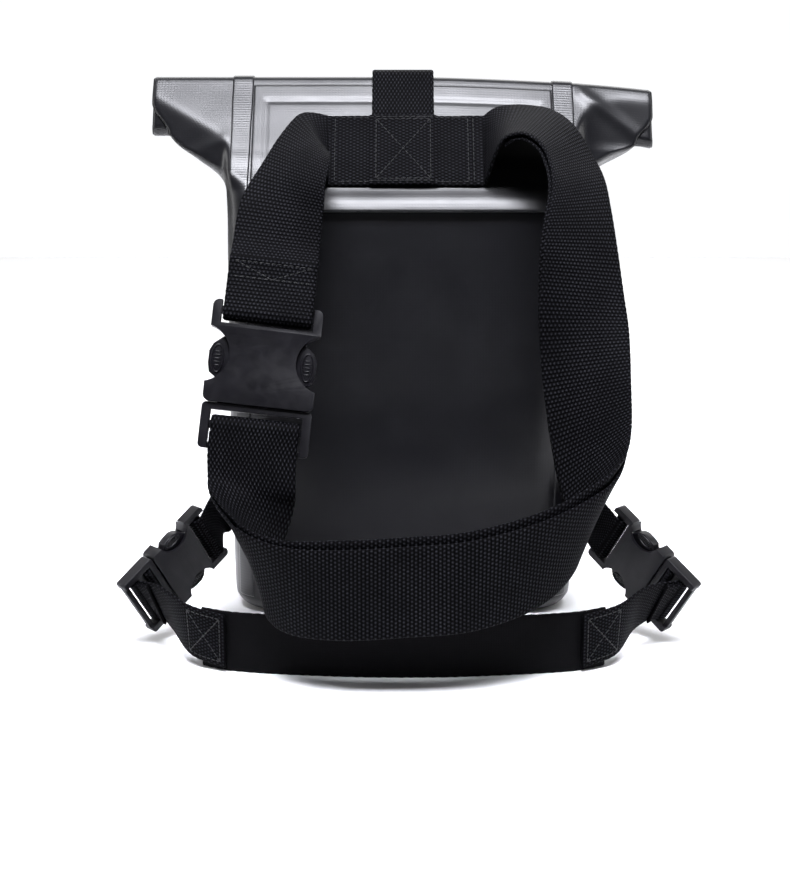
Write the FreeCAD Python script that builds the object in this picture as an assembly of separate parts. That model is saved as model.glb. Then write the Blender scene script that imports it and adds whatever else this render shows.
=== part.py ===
import FreeCAD, Part
import math
import os

# Roll-top dry bag for the hip and thigh: welded shell, rolled mouth, waist belt and leg strap.
# Millimetres.  Origin: middle of the base, on the ground.  +Z up, -Y towards the wearer,
# +X to the wearer's right when the bag is seen from the wearer's side.

V = FreeCAD.Vector

# ---- driving dimensions -------------------------------------------------------------------
BAG_WIDTH = 170.0
BAG_DEPTH = 80.0
MOUTH_WIDTH = BAG_WIDTH + BAG_DEPTH - 3   # half the girth, less the rounding of its edges
SHEET = 1.0                 # coated fabric, with its welds
CORNER = 20.0               # upright corners of the shell
BASE_ROUND = 12.0           # edge between base and walls
SLOPE_FOOT = 204.0          # height at which the wearer's side leans back
SLOPE_ANGLE = 36.0          # lean of the upper back, from upright
NECK_BOTTOM = 216.0
NECK_TOP = 234.0
ROLL_MID = 59.0             # middle of the flat roll, measured up the slope
ROLL_HALF = 12.3            # half of the straight part of the outer turn
PLY = 1.5                   # one turn of the roll: two layers of fabric
STIFFENER_SHARE = 0.97      # length of the stiffener against the mouth
TAPE_THICK = 0.7
PATCH_HALF = 69.5
WEB_BELT = 40.0
WEB_CLOSURE = 30.0
WEB_LEG = 25.0
ELASTIC = 28.0
WEB_THICK = 1.8
LEG_THICK = 1.5
PLY_GAP = 2.6               # between the middles of two layers of belt
BAND_LOW, BAND_HIGH = 9.0, 49.0       # edges of the sewn band, up the slope
BAND_LEFT, BAND_RIGHT = -36.0, 39.0   # where the belt leaves the slope
SEW_GAP = 1.0               # between the band's ends and the straps sewn to them
SMOOTH = 3                  # straight facets between two stations of a strap

LEAN = math.radians(SLOPE_ANGLE)
UP_SLOPE = V(0, math.sin(LEAN), math.cos(LEAN))
OFF_SLOPE = V(0, -math.cos(LEAN), math.sin(LEAN))
FOOT = V(0, -BAG_DEPTH / 2, SLOPE_FOOT)

# webbing width, body width, thickness, socket length, plug length
BELT_SIZE = (WEB_BELT, 49.5, 11.0, 46.0, 21.0)
CLOSURE_SIZE = (WEB_CLOSURE, 38.0, 9.5, 38.0, 20.0)
LEG_SIZE = (WEB_LEG, 33.0, 8.6, 35.0, 19.0)


# ---- small helpers ------------------------------------------------------------------------
def on_slope(x, up, off):
    """A point on the leaning upper back: up the slope, and off its surface."""
    return FOOT + V(x, 0, 0) + UP_SLOPE * up + OFF_SLOPE * off


def save(name, shape):
    """Write one sub-part."""
    if not shape.isValid():
        print("not valid:", name)
    shape.exportStep("parts/" + name + ".step")
    print(f"{name:24s} {shape.Volume / 1000:8.2f} cm3  solids {len(shape.Solids)}")


def box(low, high):
    """A block between two corners."""
    return Part.makeBox(high[0] - low[0], high[1] - low[1], high[2] - low[2], V(*low))


def prism(points, z0, z1):
    """A flat outline in XY, given as corner points, carried from z0 to z1."""
    corners = [V(x, y, z0) for x, y in points]
    face = Part.Face(Part.makePolygon(corners + corners[:1]))
    return face.extrude(V(0, 0, z1 - z0))


# ---- straps -------------------------------------------------------------------------------
def catmull(p0, p1, p2, p3, t):
    """Point on the smooth curve through p1 and p2."""
    a = p1 * 2
    b = (p2 - p0) * t
    c = (p0 * 2 - p1 * 5 + p2 * 4 - p3) * (t * t)
    d = (p1 * 3 - p0 - p2 * 3 + p3) * (t * t * t)
    return (a + b + c + d) * 0.5


def smooth_line(points, steps):
    """The same line with more points, rounded between the given ones."""
    ends = [points[0] * 2 - points[1]] + points + [points[-1] * 2 - points[-2]]
    line = []
    for i in range(1, len(ends) - 2):
        for k in range(steps):
            line.append(catmull(ends[i - 1], ends[i], ends[i + 1], ends[i + 2], k / steps))
    return line + [points[-1]]


def strap(stations, width, thick, steps=SMOOTH):
    """Flat webbing through stations, each a pair of points on its two edges."""
    first = smooth_line([pair[0] for pair in stations], steps)
    second = smooth_line([pair[1] for pair in stations], steps)
    mids = [(a + b) * 0.5 for a, b in zip(first, second)]
    rings = []
    for i, mid in enumerate(mids):
        ahead = mids[min(i + 1, len(mids) - 1)] - mids[max(i - 1, 0)]
        across = first[i] - second[i]
        across.normalize()
        normal = ahead.cross(across)
        normal.normalize()
        side = across * (width / 2)
        half = normal * (thick / 2)
        rings.append([mid + side + half, mid - side + half,
                      mid - side - half, mid + side - half])
    faces = []
    for near, far in zip(rings, rings[1:]):
        for k in range(4):
            j = (k + 1) % 4
            faces.append(Part.Face(Part.makePolygon([near[k], near[j], far[j], near[k]])))
            faces.append(Part.Face(Part.makePolygon([near[k], far[j], far[k], near[k]])))
    for ring in (rings[0], rings[-1]):
        faces.append(Part.Face(Part.makePolygon([ring[0], ring[1], ring[2], ring[0]])))
        faces.append(Part.Face(Part.makePolygon([ring[0], ring[2], ring[3], ring[0]])))
    shell = Part.makeShell(faces)
    shell.sewShape()
    solid = Part.makeSolid(shell)
    if solid.Volume < 0:
        solid.reverse()
    return solid


def pairs(rows):
    """Stations from plain numbers: x, y, z of one edge, then of the other."""
    return [(V(*row[:3]), V(*row[3:])) for row in rows]


# ---- shell of the bag ---------------------------------------------------------------------
def shell_levels():
    """Height, half width, back, front and corner radius of the shell, from the ground up."""
    half_w, half_d = BAG_WIDTH / 2, BAG_DEPTH / 2
    levels = []
    for angle in (0, 30, 60):
        turn = math.radians(angle)
        inset = BASE_ROUND * (1 - math.sin(turn))
        height = BASE_ROUND * (1 - math.cos(turn))
        corner = CORNER - 0.8 * inset
        levels.append((height, half_w - inset, inset - half_d, half_d - inset, corner))
    neck_back = on_slope(0, (NECK_BOTTOM - SLOPE_FOOT) / UP_SLOPE.z, 0).y
    levels += [
        (BASE_ROUND, half_w, -half_d, half_d, CORNER),
        (165.0, half_w, -half_d, half_d, CORNER),
        (SLOPE_FOOT, half_w, -half_d, 30.0, CORNER - 2),
        (NECK_BOTTOM, half_w + 2, neck_back, 19.0, 13.0),
    ]
    return levels


def neck_levels():
    """The same numbers for the neck, where the tube goes flat into the roll."""
    top_back = on_slope(0, (NECK_TOP - SLOPE_FOOT) / UP_SLOPE.z, 0).y
    flat = (NECK_TOP, MOUTH_WIDTH / 2, top_back, top_back + 8.2, 3.9)
    return [shell_levels()[-1], flat]


def corner_point(level, side, end, angle, grow):
    """A point on an upright corner; angle 0 faces back or front, 90 faces sideways."""
    z, half_w, back, front, radius = level
    turn = math.radians(angle)
    reach = radius + grow
    x = half_w - radius + reach * math.sin(turn)
    if end == "back":
        y = back + radius - reach * math.cos(turn)
    else:
        y = front - radius + reach * math.cos(turn)
    return V(side * x, y, z)


def edge_run(level, stops, grow):
    """Edges along the wall through stops: (side, end, from angle, to angle)."""
    edges = []
    last = None
    for side, end, start, finish in stops:
        a = corner_point(level, side, end, start, grow)
        m = corner_point(level, side, end, (start + finish) / 2, grow)
        b = corner_point(level, side, end, finish, grow)
        if last is not None:
            edges.append(Part.LineSegment(last, a).toShape())
        edges.append(Part.Arc(a, m, b).toShape())
        last = b
    return edges


def wall(levels, stops, inner, outer):
    """A wall lofted up through the levels, between two offsets from the outside."""
    wires = []
    for level in levels:
        out = edge_run(level, stops, outer)
        back_stops = [(s, e, b, a) for s, e, a, b in reversed(stops)]
        into = edge_run(level, back_stops, inner)
        end_a = Part.LineSegment(out[-1].Vertexes[-1].Point, into[0].Vertexes[0].Point)
        end_b = Part.LineSegment(into[-1].Vertexes[-1].Point, out[0].Vertexes[0].Point)
        wires.append(Part.Wire(out + [end_a.toShape()] + into + [end_b.toShape()]))
    return Part.makeLoft(wires, True, True)


def ring_solid(levels, grow):
    """The whole outline of the shell lofted as one block."""
    stops = [(-1, "back", 90, 0), (1, "back", 0, 90), (1, "front", 90, 0), (-1, "front", 0, 90)]
    wires = []
    for level in levels:
        edges = edge_run(level, stops, grow)
        close = Part.LineSegment(edges[-1].Vertexes[-1].Point, edges[0].Vertexes[0].Point)
        wires.append(Part.Wire(edges + [close.toShape()]))
    return Part.makeLoft(wires, True, True)


def make_shell():
    """Back, front, two gussets, base and the neck under the roll."""
    levels = shell_levels()
    save("back_panel", wall(levels, [(-1, "back", 45, 0), (1, "back", 0, 45)], -SHEET, 0))
    save("front_panel", wall(levels, [(1, "front", 45, 0), (-1, "front", 0, 45)], -SHEET, 0))
    for side, name in ((-1, "side_gusset_left"), (1, "side_gusset_right")):
        save(name, wall(levels, [(side, "back", 45, 90), (side, "front", 90, 45)], -SHEET, 0))
    foot = levels[0]
    save("base_panel", ring_solid([foot, (SHEET,) + foot[1:]], -SHEET))
    neck = neck_levels()
    save("neck", ring_solid(neck, 0).cut(ring_solid(neck, -SHEET)))


# ---- roll ---------------------------------------------------------------------------------
def roll_point(u, v):
    """A point across the roll: u up the slope from its middle, v off the slope."""
    return on_slope(0, ROLL_MID + u, v - 4.5)


def band_outline(path, half):
    """Closed outline of a strip: lines and arcs given as (kind, values), offset both ways."""
    sides = []
    for sign in (1, -1):
        run = []
        for kind, *values in path:
            if kind == "line":
                (u0, v0), (u1, v1) = values
                length = math.hypot(u1 - u0, v1 - v0)
                du, dv = -(v1 - v0) / length * half * sign, (u1 - u0) / length * half * sign
                run.append((kind, (u0 + du, v0 + dv), (u1 + du, v1 + dv)))
            else:
                centre, radius, start, finish = values
                grow = -sign if finish > start else sign
                run.append((kind, centre, radius + grow * half, start, finish))
        sides.append(run)
    return sides


def outline_edges(run):
    """Real edges, and the two end points, of one side of a strip."""
    edges, ends = [], []
    for kind, *values in run:
        if kind == "line":
            a, b = (roll_point(*values[0]), roll_point(*values[1]))
            edges.append(Part.LineSegment(a, b).toShape())
        else:
            (cu, cv), radius, start, finish = values
            turn = [math.radians(x) for x in (start, (start + finish) / 2, finish)]
            a, m, b = [roll_point(cu + radius * math.cos(t), cv + radius * math.sin(t))
                       for t in turn]
            edges.append(Part.Arc(a, m, b).toShape())
        ends += [a, b]
    return edges, ends[0], ends[-1]


def make_roll():
    """The mouth rolled flat, two turns round its stiffener."""
    outer, inner = 3.7, 2.0
    middle = (outer - inner) / 2
    path = [
        ("line", (-19.0, outer), (ROLL_HALF, outer)),
        ("arc", (ROLL_HALF, 0.0), outer, 90, -90),
        ("line", (ROLL_HALF, -outer), (-ROLL_HALF, -outer)),
        ("arc", (-ROLL_HALF, -middle), (outer + inner) / 2, 270, 90),
        ("line", (-ROLL_HALF, inner), (10.5, inner)),
        ("arc", (10.5, 0.0), inner, 90, -90),
        ("line", (10.5, -inner), (-10.0, -inner)),
    ]
    one, other = band_outline(path, PLY / 2)
    edges_a, start_a, end_a = outline_edges(one)
    edges_b, start_b, end_b = outline_edges(other)
    caps = [Part.LineSegment(end_a, end_b).toShape(), Part.LineSegment(start_b, start_a).toShape()]
    wire = Part.Wire(Part.__sortEdges__(edges_a + edges_b + caps))
    shift = V(-MOUTH_WIDTH / 2, 0, 0)
    face = Part.Face(wire)
    face.translate(shift)
    save("roll_top", face.extrude(V(MOUTH_WIDTH, 0, 0)))
    corners = [roll_point(u, v) + shift * STIFFENER_SHARE
               for u, v in ((-10, -1), (9.5, -1), (9.5, 1), (-10, 1))]
    strip = Part.Face(Part.makePolygon(corners + corners[:1]))
    save("roll_stiffener", strip.extrude(V(MOUTH_WIDTH * STIFFENER_SHARE, 0, 0)))


# ---- what is welded or sewn to the back ---------------------------------------------------
def back_strip(x0, x1, low_z, top_up, off, thick):
    """A flat strip on the back from low_z on the upright part to top_up on the slope."""
    bend = math.tan(LEAN / 2)
    back = -BAG_DEPTH / 2
    profile = []
    for h in (off, off + thick):
        profile.append([V(x0, back - h, low_z), V(x0, back - h, SLOPE_FOOT + h * bend),
                        on_slope(x0, top_up, h)])
    corners = profile[0] + profile[1][::-1]
    face = Part.Face(Part.makePolygon(corners + corners[:1]))
    return face.extrude(V(x1 - x0, 0, 0))


def slope_block(x0, x1, up0, up1, off0, off1):
    """A flat block lying on the slope."""
    corners = [on_slope(x0, up, off) for up, off in
               ((up0, off0), (up1, off0), (up1, off1), (up0, off1))]
    face = Part.Face(Part.makePolygon(corners + corners[:1]))
    return face.extrude(V(x1 - x0, 0, 0))


def make_back_details():
    """Seam tapes on the back corners, reinforcement patch and the sewn band."""
    levels = shell_levels()[2:]
    for side, name in ((-1, "seam_tape_left"), (1, "seam_tape_right")):
        save(name, wall(levels, [(side, "back", 16, 47)], 0.05, TAPE_THICK))
    save("back_patch", back_strip(-PATCH_HALF, PATCH_HALF, 200.0, 55.0, 0.05, 0.8))
    save("belt_band", slope_block(BAND_LEFT, BAND_RIGHT, BAND_LOW, BAND_HIGH, 0.9, 0.9 + WEB_THICK))


# ---- buckles ------------------------------------------------------------------------------
def placement(origin, along, across):
    """Frame of a buckle: x across it, y from plug to socket, z out of its face."""
    y = V(*along)
    y.normalize()
    x = V(*across)
    x = x - y * x.dot(y)
    x.normalize()
    z = x.cross(y)
    m = FreeCAD.Matrix(x.x, y.x, z.x, origin[0], x.y, y.y, z.y, origin[1],
                       x.z, y.z, z.z, origin[2], 0, 0, 0, 1)
    return m


# mouth of the socket, direction from plug to socket, direction across
BELT_FRAME = placement((-65.6, -94.0, 117.0), (0.11, 0.24, 0.965), (0.988, 0.02, -0.154))
CLOSURE_FRAME = placement((0.0, 47.2, 128.0), (0.0, 0.0, -1.0), (1.0, 0.0, 0.0))
LEG_RIGHT_FRAME = placement((118.5, -77.0, 30.5), (-0.60, 0.57, 0.56), (0.33, -0.42, 0.85))
LEG_LEFT_FRAME = placement((-113.5, -77.0, 30.5), (0.60, 0.57, 0.56), (0.33, 0.42, -0.85))
BUCKLES = {
    "belt": (BELT_FRAME, BELT_SIZE),
    "closure": (CLOSURE_FRAME, CLOSURE_SIZE),
    "leg_left": (LEG_LEFT_FRAME, LEG_SIZE),
    "leg_right": (LEG_RIGHT_FRAME, LEG_SIZE),
}
BAR = 3.6                   # bars that webbing turns round, square
SLOT = 4.0                  # opening beside the bar
BAR_BACK = 4.5              # middle of the socket's bar from its end
MID_BAR = 0.48              # place of the plug's bar along the plug
WALL = 1.6
RELEASE = 10.0              # degrees that a latch is squeezed in


def scales(size):
    """Inner sizes of a buckle against the largest one, across and along."""
    slot_start = size[3] - BAR_BACK - BAR / 2 - SLOT
    return size[1] / BELT_SIZE[1], slot_start / 35.7


def socket(size):
    """Female half: flat sleeve with bitten sides and a bar for the webbing."""
    web, width, thick, length, plug = size
    kx, ky = scales(size)
    half_w, half_t = width / 2, thick / 2
    slot_end = length - BAR_BACK - BAR / 2
    slot_start = slot_end - SLOT
    inner = web / 2 + 0.8
    body = box((-half_w, 0, -half_t), (half_w, length, half_t))
    upright = [e for e in body.Edges if abs(e.tangentAt(e.FirstParameter).z) > 0.9]
    body = body.makeFillet(3.0 * kx, upright)
    for sign in (-1, 1):
        thin = box((-half_w, slot_start - 1.5, 0), (half_w, length + 1, half_t))
        thin.translate(V(0, 0, half_t * 0.62) if sign > 0 else V(0, 0, -half_t * 1.62))
        body = body.cut(thin)
        bite = Part.makeCylinder(13.0 * ky, thick + 2,
                                 V(sign * (half_w + 3.2 * ky), 21.3 * ky, -half_t - 1))
        body = body.cut(bite)
    in_t = half_t - WALL
    body = body.cut(box((-18.5 * kx, -1, -in_t), (18.5 * kx, 34.0 * ky, in_t)))
    deep = half_w - 2.2 * kx
    body = body.cut(box((-deep, 9.4 * ky, -in_t), (deep, 28.0 * ky, in_t)))
    body = body.cut(box((-inner, slot_start, -thick), (inner, slot_end, thick)))
    body = body.cut(box((-inner, slot_end + BAR, -thick), (inner, length + 1, thick)))
    for sign in (-1, 1):
        trim = box((-inner, slot_end - 0.1, 0), (inner, slot_end + BAR + 0.1, half_t))
        trim.translate(V(0, 0, BAR / 2) if sign > 0 else V(0, 0, -BAR / 2 - half_t))
        body = body.cut(trim)
    return body


def plug_half(size):
    """Male half: frame with a bar for the webbing and a centre guide."""
    web, width, thick, length, plug = size
    kx, ky = scales(size)
    half_w, half_t = width / 2, thick / 2
    inner = web / 2 + 0.8
    rail_t = half_t * 0.72
    body = box((-half_w, -plug, -rail_t), (half_w, -0.3, rail_t))
    upright = [e for e in body.Edges if abs(e.tangentAt(e.FirstParameter).z) > 0.9]
    body = body.makeFillet(2.0 * kx, upright)
    body = body.cut(box((-inner, -plug + 2.6, -thick), (inner, -3.4, thick)))
    for sign in (-1, 1):
        trim = box((-inner, -plug - 1, 0), (inner, -plug + 3, half_t))
        trim.translate(V(0, 0, 1.3) if sign > 0 else V(0, 0, -1.3 - half_t))
        body = body.cut(trim)
    middle = -plug * MID_BAR
    bar = box((-inner - 1, middle - BAR / 2, -BAR / 2), (inner + 1, middle + BAR / 2, BAR / 2))
    body = body.fuse(bar)
    guide = prism([(-3 * kx, -2), (3 * kx, -2), (3 * kx, 26 * ky), (0, 30 * ky), (-3 * kx, 26 * ky)],
                  -2 * kx, 2 * kx)
    return body.fuse(guide).removeSplitter()


def latch(size, sign):
    """One springy prong with its thumb ear."""
    kx, ky = scales(size)
    outline = [(10.0, 0.5), (15.4, 0.5), (15.4, 8.5), (20.4, 10.9), (23.4, 13.0), (24.2, 17.0),
               (24.2, 22.5), (22.6, 26.0), (17.6, 30.0), (14.0, 32.5), (10.8, 30.0),
               (12.6, 24.0), (12.6, 8.0)]
    points = [(sign * x * kx, y * ky) for x, y in outline]
    half = size[2] / 2 - WALL - 0.5
    return prism(points, -half, half)


def make_buckles():
    """Four side-release buckles: socket, plug and two latches each."""
    for name, (frame, size) in BUCKLES.items():
        pieces = {
            name + "_buckle_socket": socket(size),
            name + "_buckle_plug": plug_half(size),
            name + "_latch_left": latch(size, -1),
            name + "_latch_right": latch(size, 1),
        }
        for node, shape in pieces.items():
            save(node, placed(shape, frame))


def placed(shape, frame):
    """A copy of the shape standing in the given frame."""
    copy = shape.copy()
    copy.Placement = FreeCAD.Placement(frame).multiply(copy.Placement)
    return copy


def turn_round_bar(frame, size, where, start, finish, thick, flip=1, steps=5):
    """Stations of webbing round a buckle's bar, between two angles in the y-z plane."""
    web, length, plug = size[0], size[3], size[4]
    y0 = length - BAR_BACK if where == "socket" else -plug * MID_BAR
    radius = BAR / 2 * 1.4 + thick / 2 + 0.35
    rows = []
    for k in range(steps + 1):
        turn = math.radians(start + (finish - start) * k / steps)
        y = y0 + radius * math.cos(turn)
        z = radius * math.sin(turn)
        a = frame.multiply(V(-flip * web / 2, y, z))
        b = frame.multiply(V(flip * web / 2, y, z))
        rows.append((a, b))
    return rows


def frame_pair(frame, web, y, z, flip=1):
    """One station of webbing beside a buckle, at y along it and z off its middle."""
    return (frame.multiply(V(-flip * web / 2, y, z)), frame.multiply(V(flip * web / 2, y, z)))


# ---- waist belt ---------------------------------------------------------------------------
# Edge points, millimetres: the edge that is highest on the band first.
LEFT_CURL = [
    (-45, -15, 246.5, -36, -45, 221),
    (-51, -19, 244.5, -34, -50, 227),
    (-59, -31, 234, -34, -59, 224),
    (-67, -44, 221, -36, -67, 213),
    (-75, -58, 206, -37, -67, 200),
    (-78, -67, 190, -38, -70, 185),
]
LEFT_TURN = [
    (-88, -105, 87, -48, -104, 79),
    (-86, -113, 83, -50, -101, 70),
    (-80, -122, 77, -56, -103, 55),
    (-73, -131, 72, -60, -117, 38),
]
FRONT_LOOP = [
    (-64, -138, 69, -58, -132, 30),
    (-48, -146, 66, -47, -143, 27),
    (-26, -151, 67, -26, -151, 27),
    (0, -153, 69, 0, -153, 29),
    (28, -151, 71, 28, -151, 31),
    (58, -142, 77, 54, -142, 37),
    (80, -131, 85, 70, -129, 46),
    (91, -123, 91, 77, -110, 56),
    (98, -112, 101, 71, -101, 73),
    (100, -104, 122, 65, -92, 108),
    (100, -94, 145, 62, -90, 141),
    (98, -84, 164, 61, -92, 168),
    (96, -74, 185, 61, -92, 188),
    (94, -64, 202, 63, -89, 202),
]
RIGHT_CURL = [
    (92, -54, 215, 65, -83, 212),
    (88, -43, 225, 65, -75, 221),
    (80, -32, 239, 62, -66, 230),
    (71, -24, 246, 56, -59, 235),
    (62, -19, 248, 50, -54, 235),
    (53, -16, 248.5, 46, -50, 232),
    (46, -14, 247.5, 43, -44, 224),
]


def band_end(x):
    """Edge pair where the belt joins the band."""
    middle = 0.9 + WEB_THICK / 2
    x += math.copysign(SEW_GAP, x)
    return (on_slope(x, BAND_HIGH, middle), on_slope(x, BAND_LOW, middle))


def make_belt():
    """Left half to the socket, the adjusting turn on the plug, front loop and tail."""
    frame, size = BUCKLES["belt"]
    left = [band_end(BAND_LEFT)] + pairs(LEFT_CURL)
    left.append(frame_pair(frame, WEB_BELT, 62, -1.2))
    left += turn_round_bar(frame, size, "socket", 290, 70, WEB_THICK)
    left.append(frame_pair(frame, WEB_BELT, 64, 1.6))
    save("belt_strap_left", strap(left, WEB_BELT, WEB_THICK))

    turn = pairs(LEFT_TURN)
    down = [frame_pair(frame, WEB_BELT, -22, 3.2)] + turn
    back = [frame_pair(frame, WEB_BELT, -22, -3.2)] + turn
    inner = shifted(down, PLY_GAP / 2)
    outer = shifted(back, -PLY_GAP / 2)
    bend = turn_round_bar(frame, size, "plug", 115, -115, WEB_THICK)
    save("belt_turn_left", strap(inner[:0:-1] + [down[0]] + bend + [back[0]] + outer[1:],
                                 WEB_BELT, WEB_THICK))

    loop = pairs(FRONT_LOOP)
    curl = pairs(RIGHT_CURL)
    joined = turn[-1:] + loop + curl
    inner = shifted(joined, PLY_GAP / 2)[1:]
    save("belt_strap_main", strap(inner + [band_end(BAND_RIGHT)], WEB_BELT, WEB_THICK))
    outer = shifted(joined, -PLY_GAP / 2)[1:-1]
    save("belt_tail", strap(outer, WEB_BELT, WEB_THICK))


def shifted(stations, lift):
    """Stations moved off their own surface, towards the wearer's body for a positive lift."""
    mids = [(a + b) * 0.5 for a, b in stations]
    moved = []
    for i, (a, b) in enumerate(stations):
        ahead = mids[min(i + 1, len(mids) - 1)] - mids[max(i - 1, 0)]
        normal = ahead.cross(a - b)
        normal.normalize()
        moved.append((a - normal * lift, b - normal * lift))
    return moved


# ---- closure strap ------------------------------------------------------------------------
def make_closure():
    """Strap from the band over the roll to the front buckle, and the sewn tab below it."""
    frame, size = BUCKLES["closure"]
    half = WEB_CLOSURE / 2
    middle = 0.9 + LEG_THICK / 2
    path = [on_slope(0, BAND_HIGH + 0.4, middle), on_slope(0, 60, middle), on_slope(0, 66, middle)]
    reach = 4.5 + middle
    for angle in range(90, -91, -30):
        turn = math.radians(angle)
        path.append(roll_point(ROLL_HALF + 1 + reach * math.cos(turn), reach * math.sin(turn)))
    path += [V(0, 20.0, 231.0), V(0, 31.0, 212.0), V(0, 37.5, 192.0), V(0, 41.4, 172.0)]
    edge = V(half, 0, 0)
    rows = [(p - edge, p + edge) for p in path]
    save("closure_strap", strap(rows, WEB_CLOSURE, LEG_THICK, steps=2))

    low = V(0, 43.0, 165.0)
    run = [(low - edge, low + edge), frame_pair(frame, WEB_CLOSURE, -22, -2.6)]
    run += turn_round_bar(frame, size, "plug", -115, 100, LEG_THICK)
    run.append(frame_pair(frame, WEB_CLOSURE, -27, 4.0))
    save("closure_run", strap(run, WEB_CLOSURE, LEG_THICK, steps=2))

    face = BAG_DEPTH / 2 + LEG_THICK / 2 + 0.2
    points = [V(0, face, 62), V(0, face, 72), V(0, face, 82)]
    rows = [(p - edge, p + edge) for p in points]
    rows += turn_round_bar(frame, size, "socket", 300, 60, LEG_THICK)
    rows += [(p - edge + V(0, PLY_GAP, 0), p + edge + V(0, PLY_GAP, 0)) for p in points[::-1]]
    save("closure_tab", strap(rows, WEB_CLOSURE, LEG_THICK, steps=2))


# ---- leg strap ----------------------------------------------------------------------------
LEG_TAB = [
    (86.5, -4, 63, 86.5, -4, 38),
    (88, -20, 63, 88, -19, 38),
    (92, -36, 65, 90, -33, 40),
]
LEG_END = [
    (111, -101, 35, 106, -94, 11),
    (97, -112, 30, 96, -110, 5),
    (80, -118.6, 27, 80, -118.6, 2),
]
ELASTIC_HALF = [
    (91, -109.6), (78, -116.2), (60, -120.0), (40, -122.6), (20, -124.4), (0, -125.0),
]


def mirrored(rows, side):
    """Edge pairs on the left (-1) or the right (1)."""
    return [(V(side * a.x, a.y, a.z), V(side * b.x, b.y, b.z)) for a, b in pairs(rows)]


def make_leg_strap():
    """Tabs on the bag, webbing on the plugs and the elastic that rests on the ground."""
    for side, name in ((-1, "left"), (1, "right")):
        frame, size = BUCKLES["leg_" + name]
        flip = -side
        bar = turn_round_bar(frame, size, "socket", 70, 290, LEG_THICK, flip)
        rows = mirrored(LEG_TAB, side) + bar
        save("leg_tab_" + name, strap(rows, WEB_LEG, LEG_THICK, steps=2))

        bar = turn_round_bar(frame, size, "plug", 125, 415, LEG_THICK, flip)
        rows = mirrored(LEG_END, side)[::-1] + bar
        save("leg_webbing_" + name, strap(rows, WEB_LEG, LEG_THICK, steps=2))

    line = [(-x, y) for x, y in ELASTIC_HALF] + [(x, y) for x, y in ELASTIC_HALF[-2::-1]]
    rows = [(V(x, y, ELASTIC), V(x, y, 0)) for x, y in line]
    save("leg_elastic", strap(rows, ELASTIC, LEG_THICK, steps=2))


def main():
    """Write every sub-part."""
    os.makedirs("parts", exist_ok=True)
    make_shell()
    make_roll()
    make_back_details()
    make_buckles()
    make_belt()
    make_closure()
    make_leg_strap()


main()
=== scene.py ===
"""Roll-top dry bag for the hip and thigh: fabric, webbing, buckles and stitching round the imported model.

Shapes are worked out in millimetres and put into meshes in metres.  Z is up, the wearer is at -Y.
"""
import math

import bmesh
import bpy
import numpy as np
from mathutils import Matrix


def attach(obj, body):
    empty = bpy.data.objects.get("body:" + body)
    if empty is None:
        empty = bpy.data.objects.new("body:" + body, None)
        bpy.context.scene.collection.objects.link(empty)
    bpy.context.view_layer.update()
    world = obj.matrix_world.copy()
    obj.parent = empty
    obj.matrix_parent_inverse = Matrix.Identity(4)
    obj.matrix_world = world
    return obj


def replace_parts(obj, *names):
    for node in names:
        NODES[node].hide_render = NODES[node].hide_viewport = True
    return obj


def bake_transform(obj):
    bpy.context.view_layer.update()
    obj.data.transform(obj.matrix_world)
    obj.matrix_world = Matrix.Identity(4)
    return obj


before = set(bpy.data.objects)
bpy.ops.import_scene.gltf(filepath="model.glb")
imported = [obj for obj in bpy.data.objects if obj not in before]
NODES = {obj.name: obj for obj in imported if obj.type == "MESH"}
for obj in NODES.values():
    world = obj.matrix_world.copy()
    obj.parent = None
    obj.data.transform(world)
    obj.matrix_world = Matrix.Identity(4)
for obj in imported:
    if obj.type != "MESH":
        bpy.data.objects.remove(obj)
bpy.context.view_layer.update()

bl_info = {
    "name": "Roll-top dry bag",
    "version": (1, 0, 0),
    "blender": (4, 5, 0),
    "location": "View3D > Sidebar > Dry Bag",
    "description": "Welded roll-top dry bag with waist belt and leg strap",
    "category": "Object",
}

MM = 0.001
TAU = 2 * math.pi

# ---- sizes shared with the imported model, in millimetres --------------------------------------
BACK = -40.0                # upright wall on the wearer's side
FRONT = 40.0
HALF_WIDTH = 85.0
HALF_MOUTH = 123.5
FOOT_Z = 204.0              # where the wearer's side starts to lean
LEAN = math.radians(36.0)
ROLL_MID = 59.0
ROLL_HALF = 12.3
ROLL_SINK = 4.5             # depth of the roll's middle under the slope
BAND_LOW, BAND_HIGH = 9.0, 49.0
BAND_LEFT, BAND_RIGHT = -36.0, 39.0
WEB_BELT, WEB_CLOSURE, WEB_LEG, ELASTIC = 40.0, 30.0, 25.0, 28.0
WEB_THICK, LEG_THICK = 1.8, 1.5
PLY_GAP = 2.6
BAR = 3.6
BAR_BACK = 4.5
MID_BAR = 0.48

UP = np.array((0.0, math.sin(LEAN), math.cos(LEAN)))
OFF = np.array((0.0, -math.cos(LEAN), math.sin(LEAN)))
FOOT = np.array((0.0, BACK, FOOT_Z))

# mouth of the socket, plug to socket, across; then webbing, width, thickness, socket, plug
BUCKLES = {
    "belt": ((-65.6, -94.0, 117.0), (0.11, 0.24, 0.965), (0.988, 0.02, -0.154),
             (40.0, 49.5, 11.0, 46.0, 21.0)),
    "closure": ((0.0, 47.2, 128.0), (0.0, 0.0, -1.0), (1.0, 0.0, 0.0),
                (30.0, 38.0, 9.5, 38.0, 20.0)),
    "leg_left": ((-113.5, -77.0, 30.5), (0.60, 0.57, 0.56), (0.33, 0.42, -0.85),
                 (25.0, 33.0, 8.6, 35.0, 19.0)),
    "leg_right": ((118.5, -77.0, 30.5), (-0.60, 0.57, 0.56), (0.33, -0.42, 0.85),
                  (25.0, 33.0, 8.6, 35.0, 19.0)),
}

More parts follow.
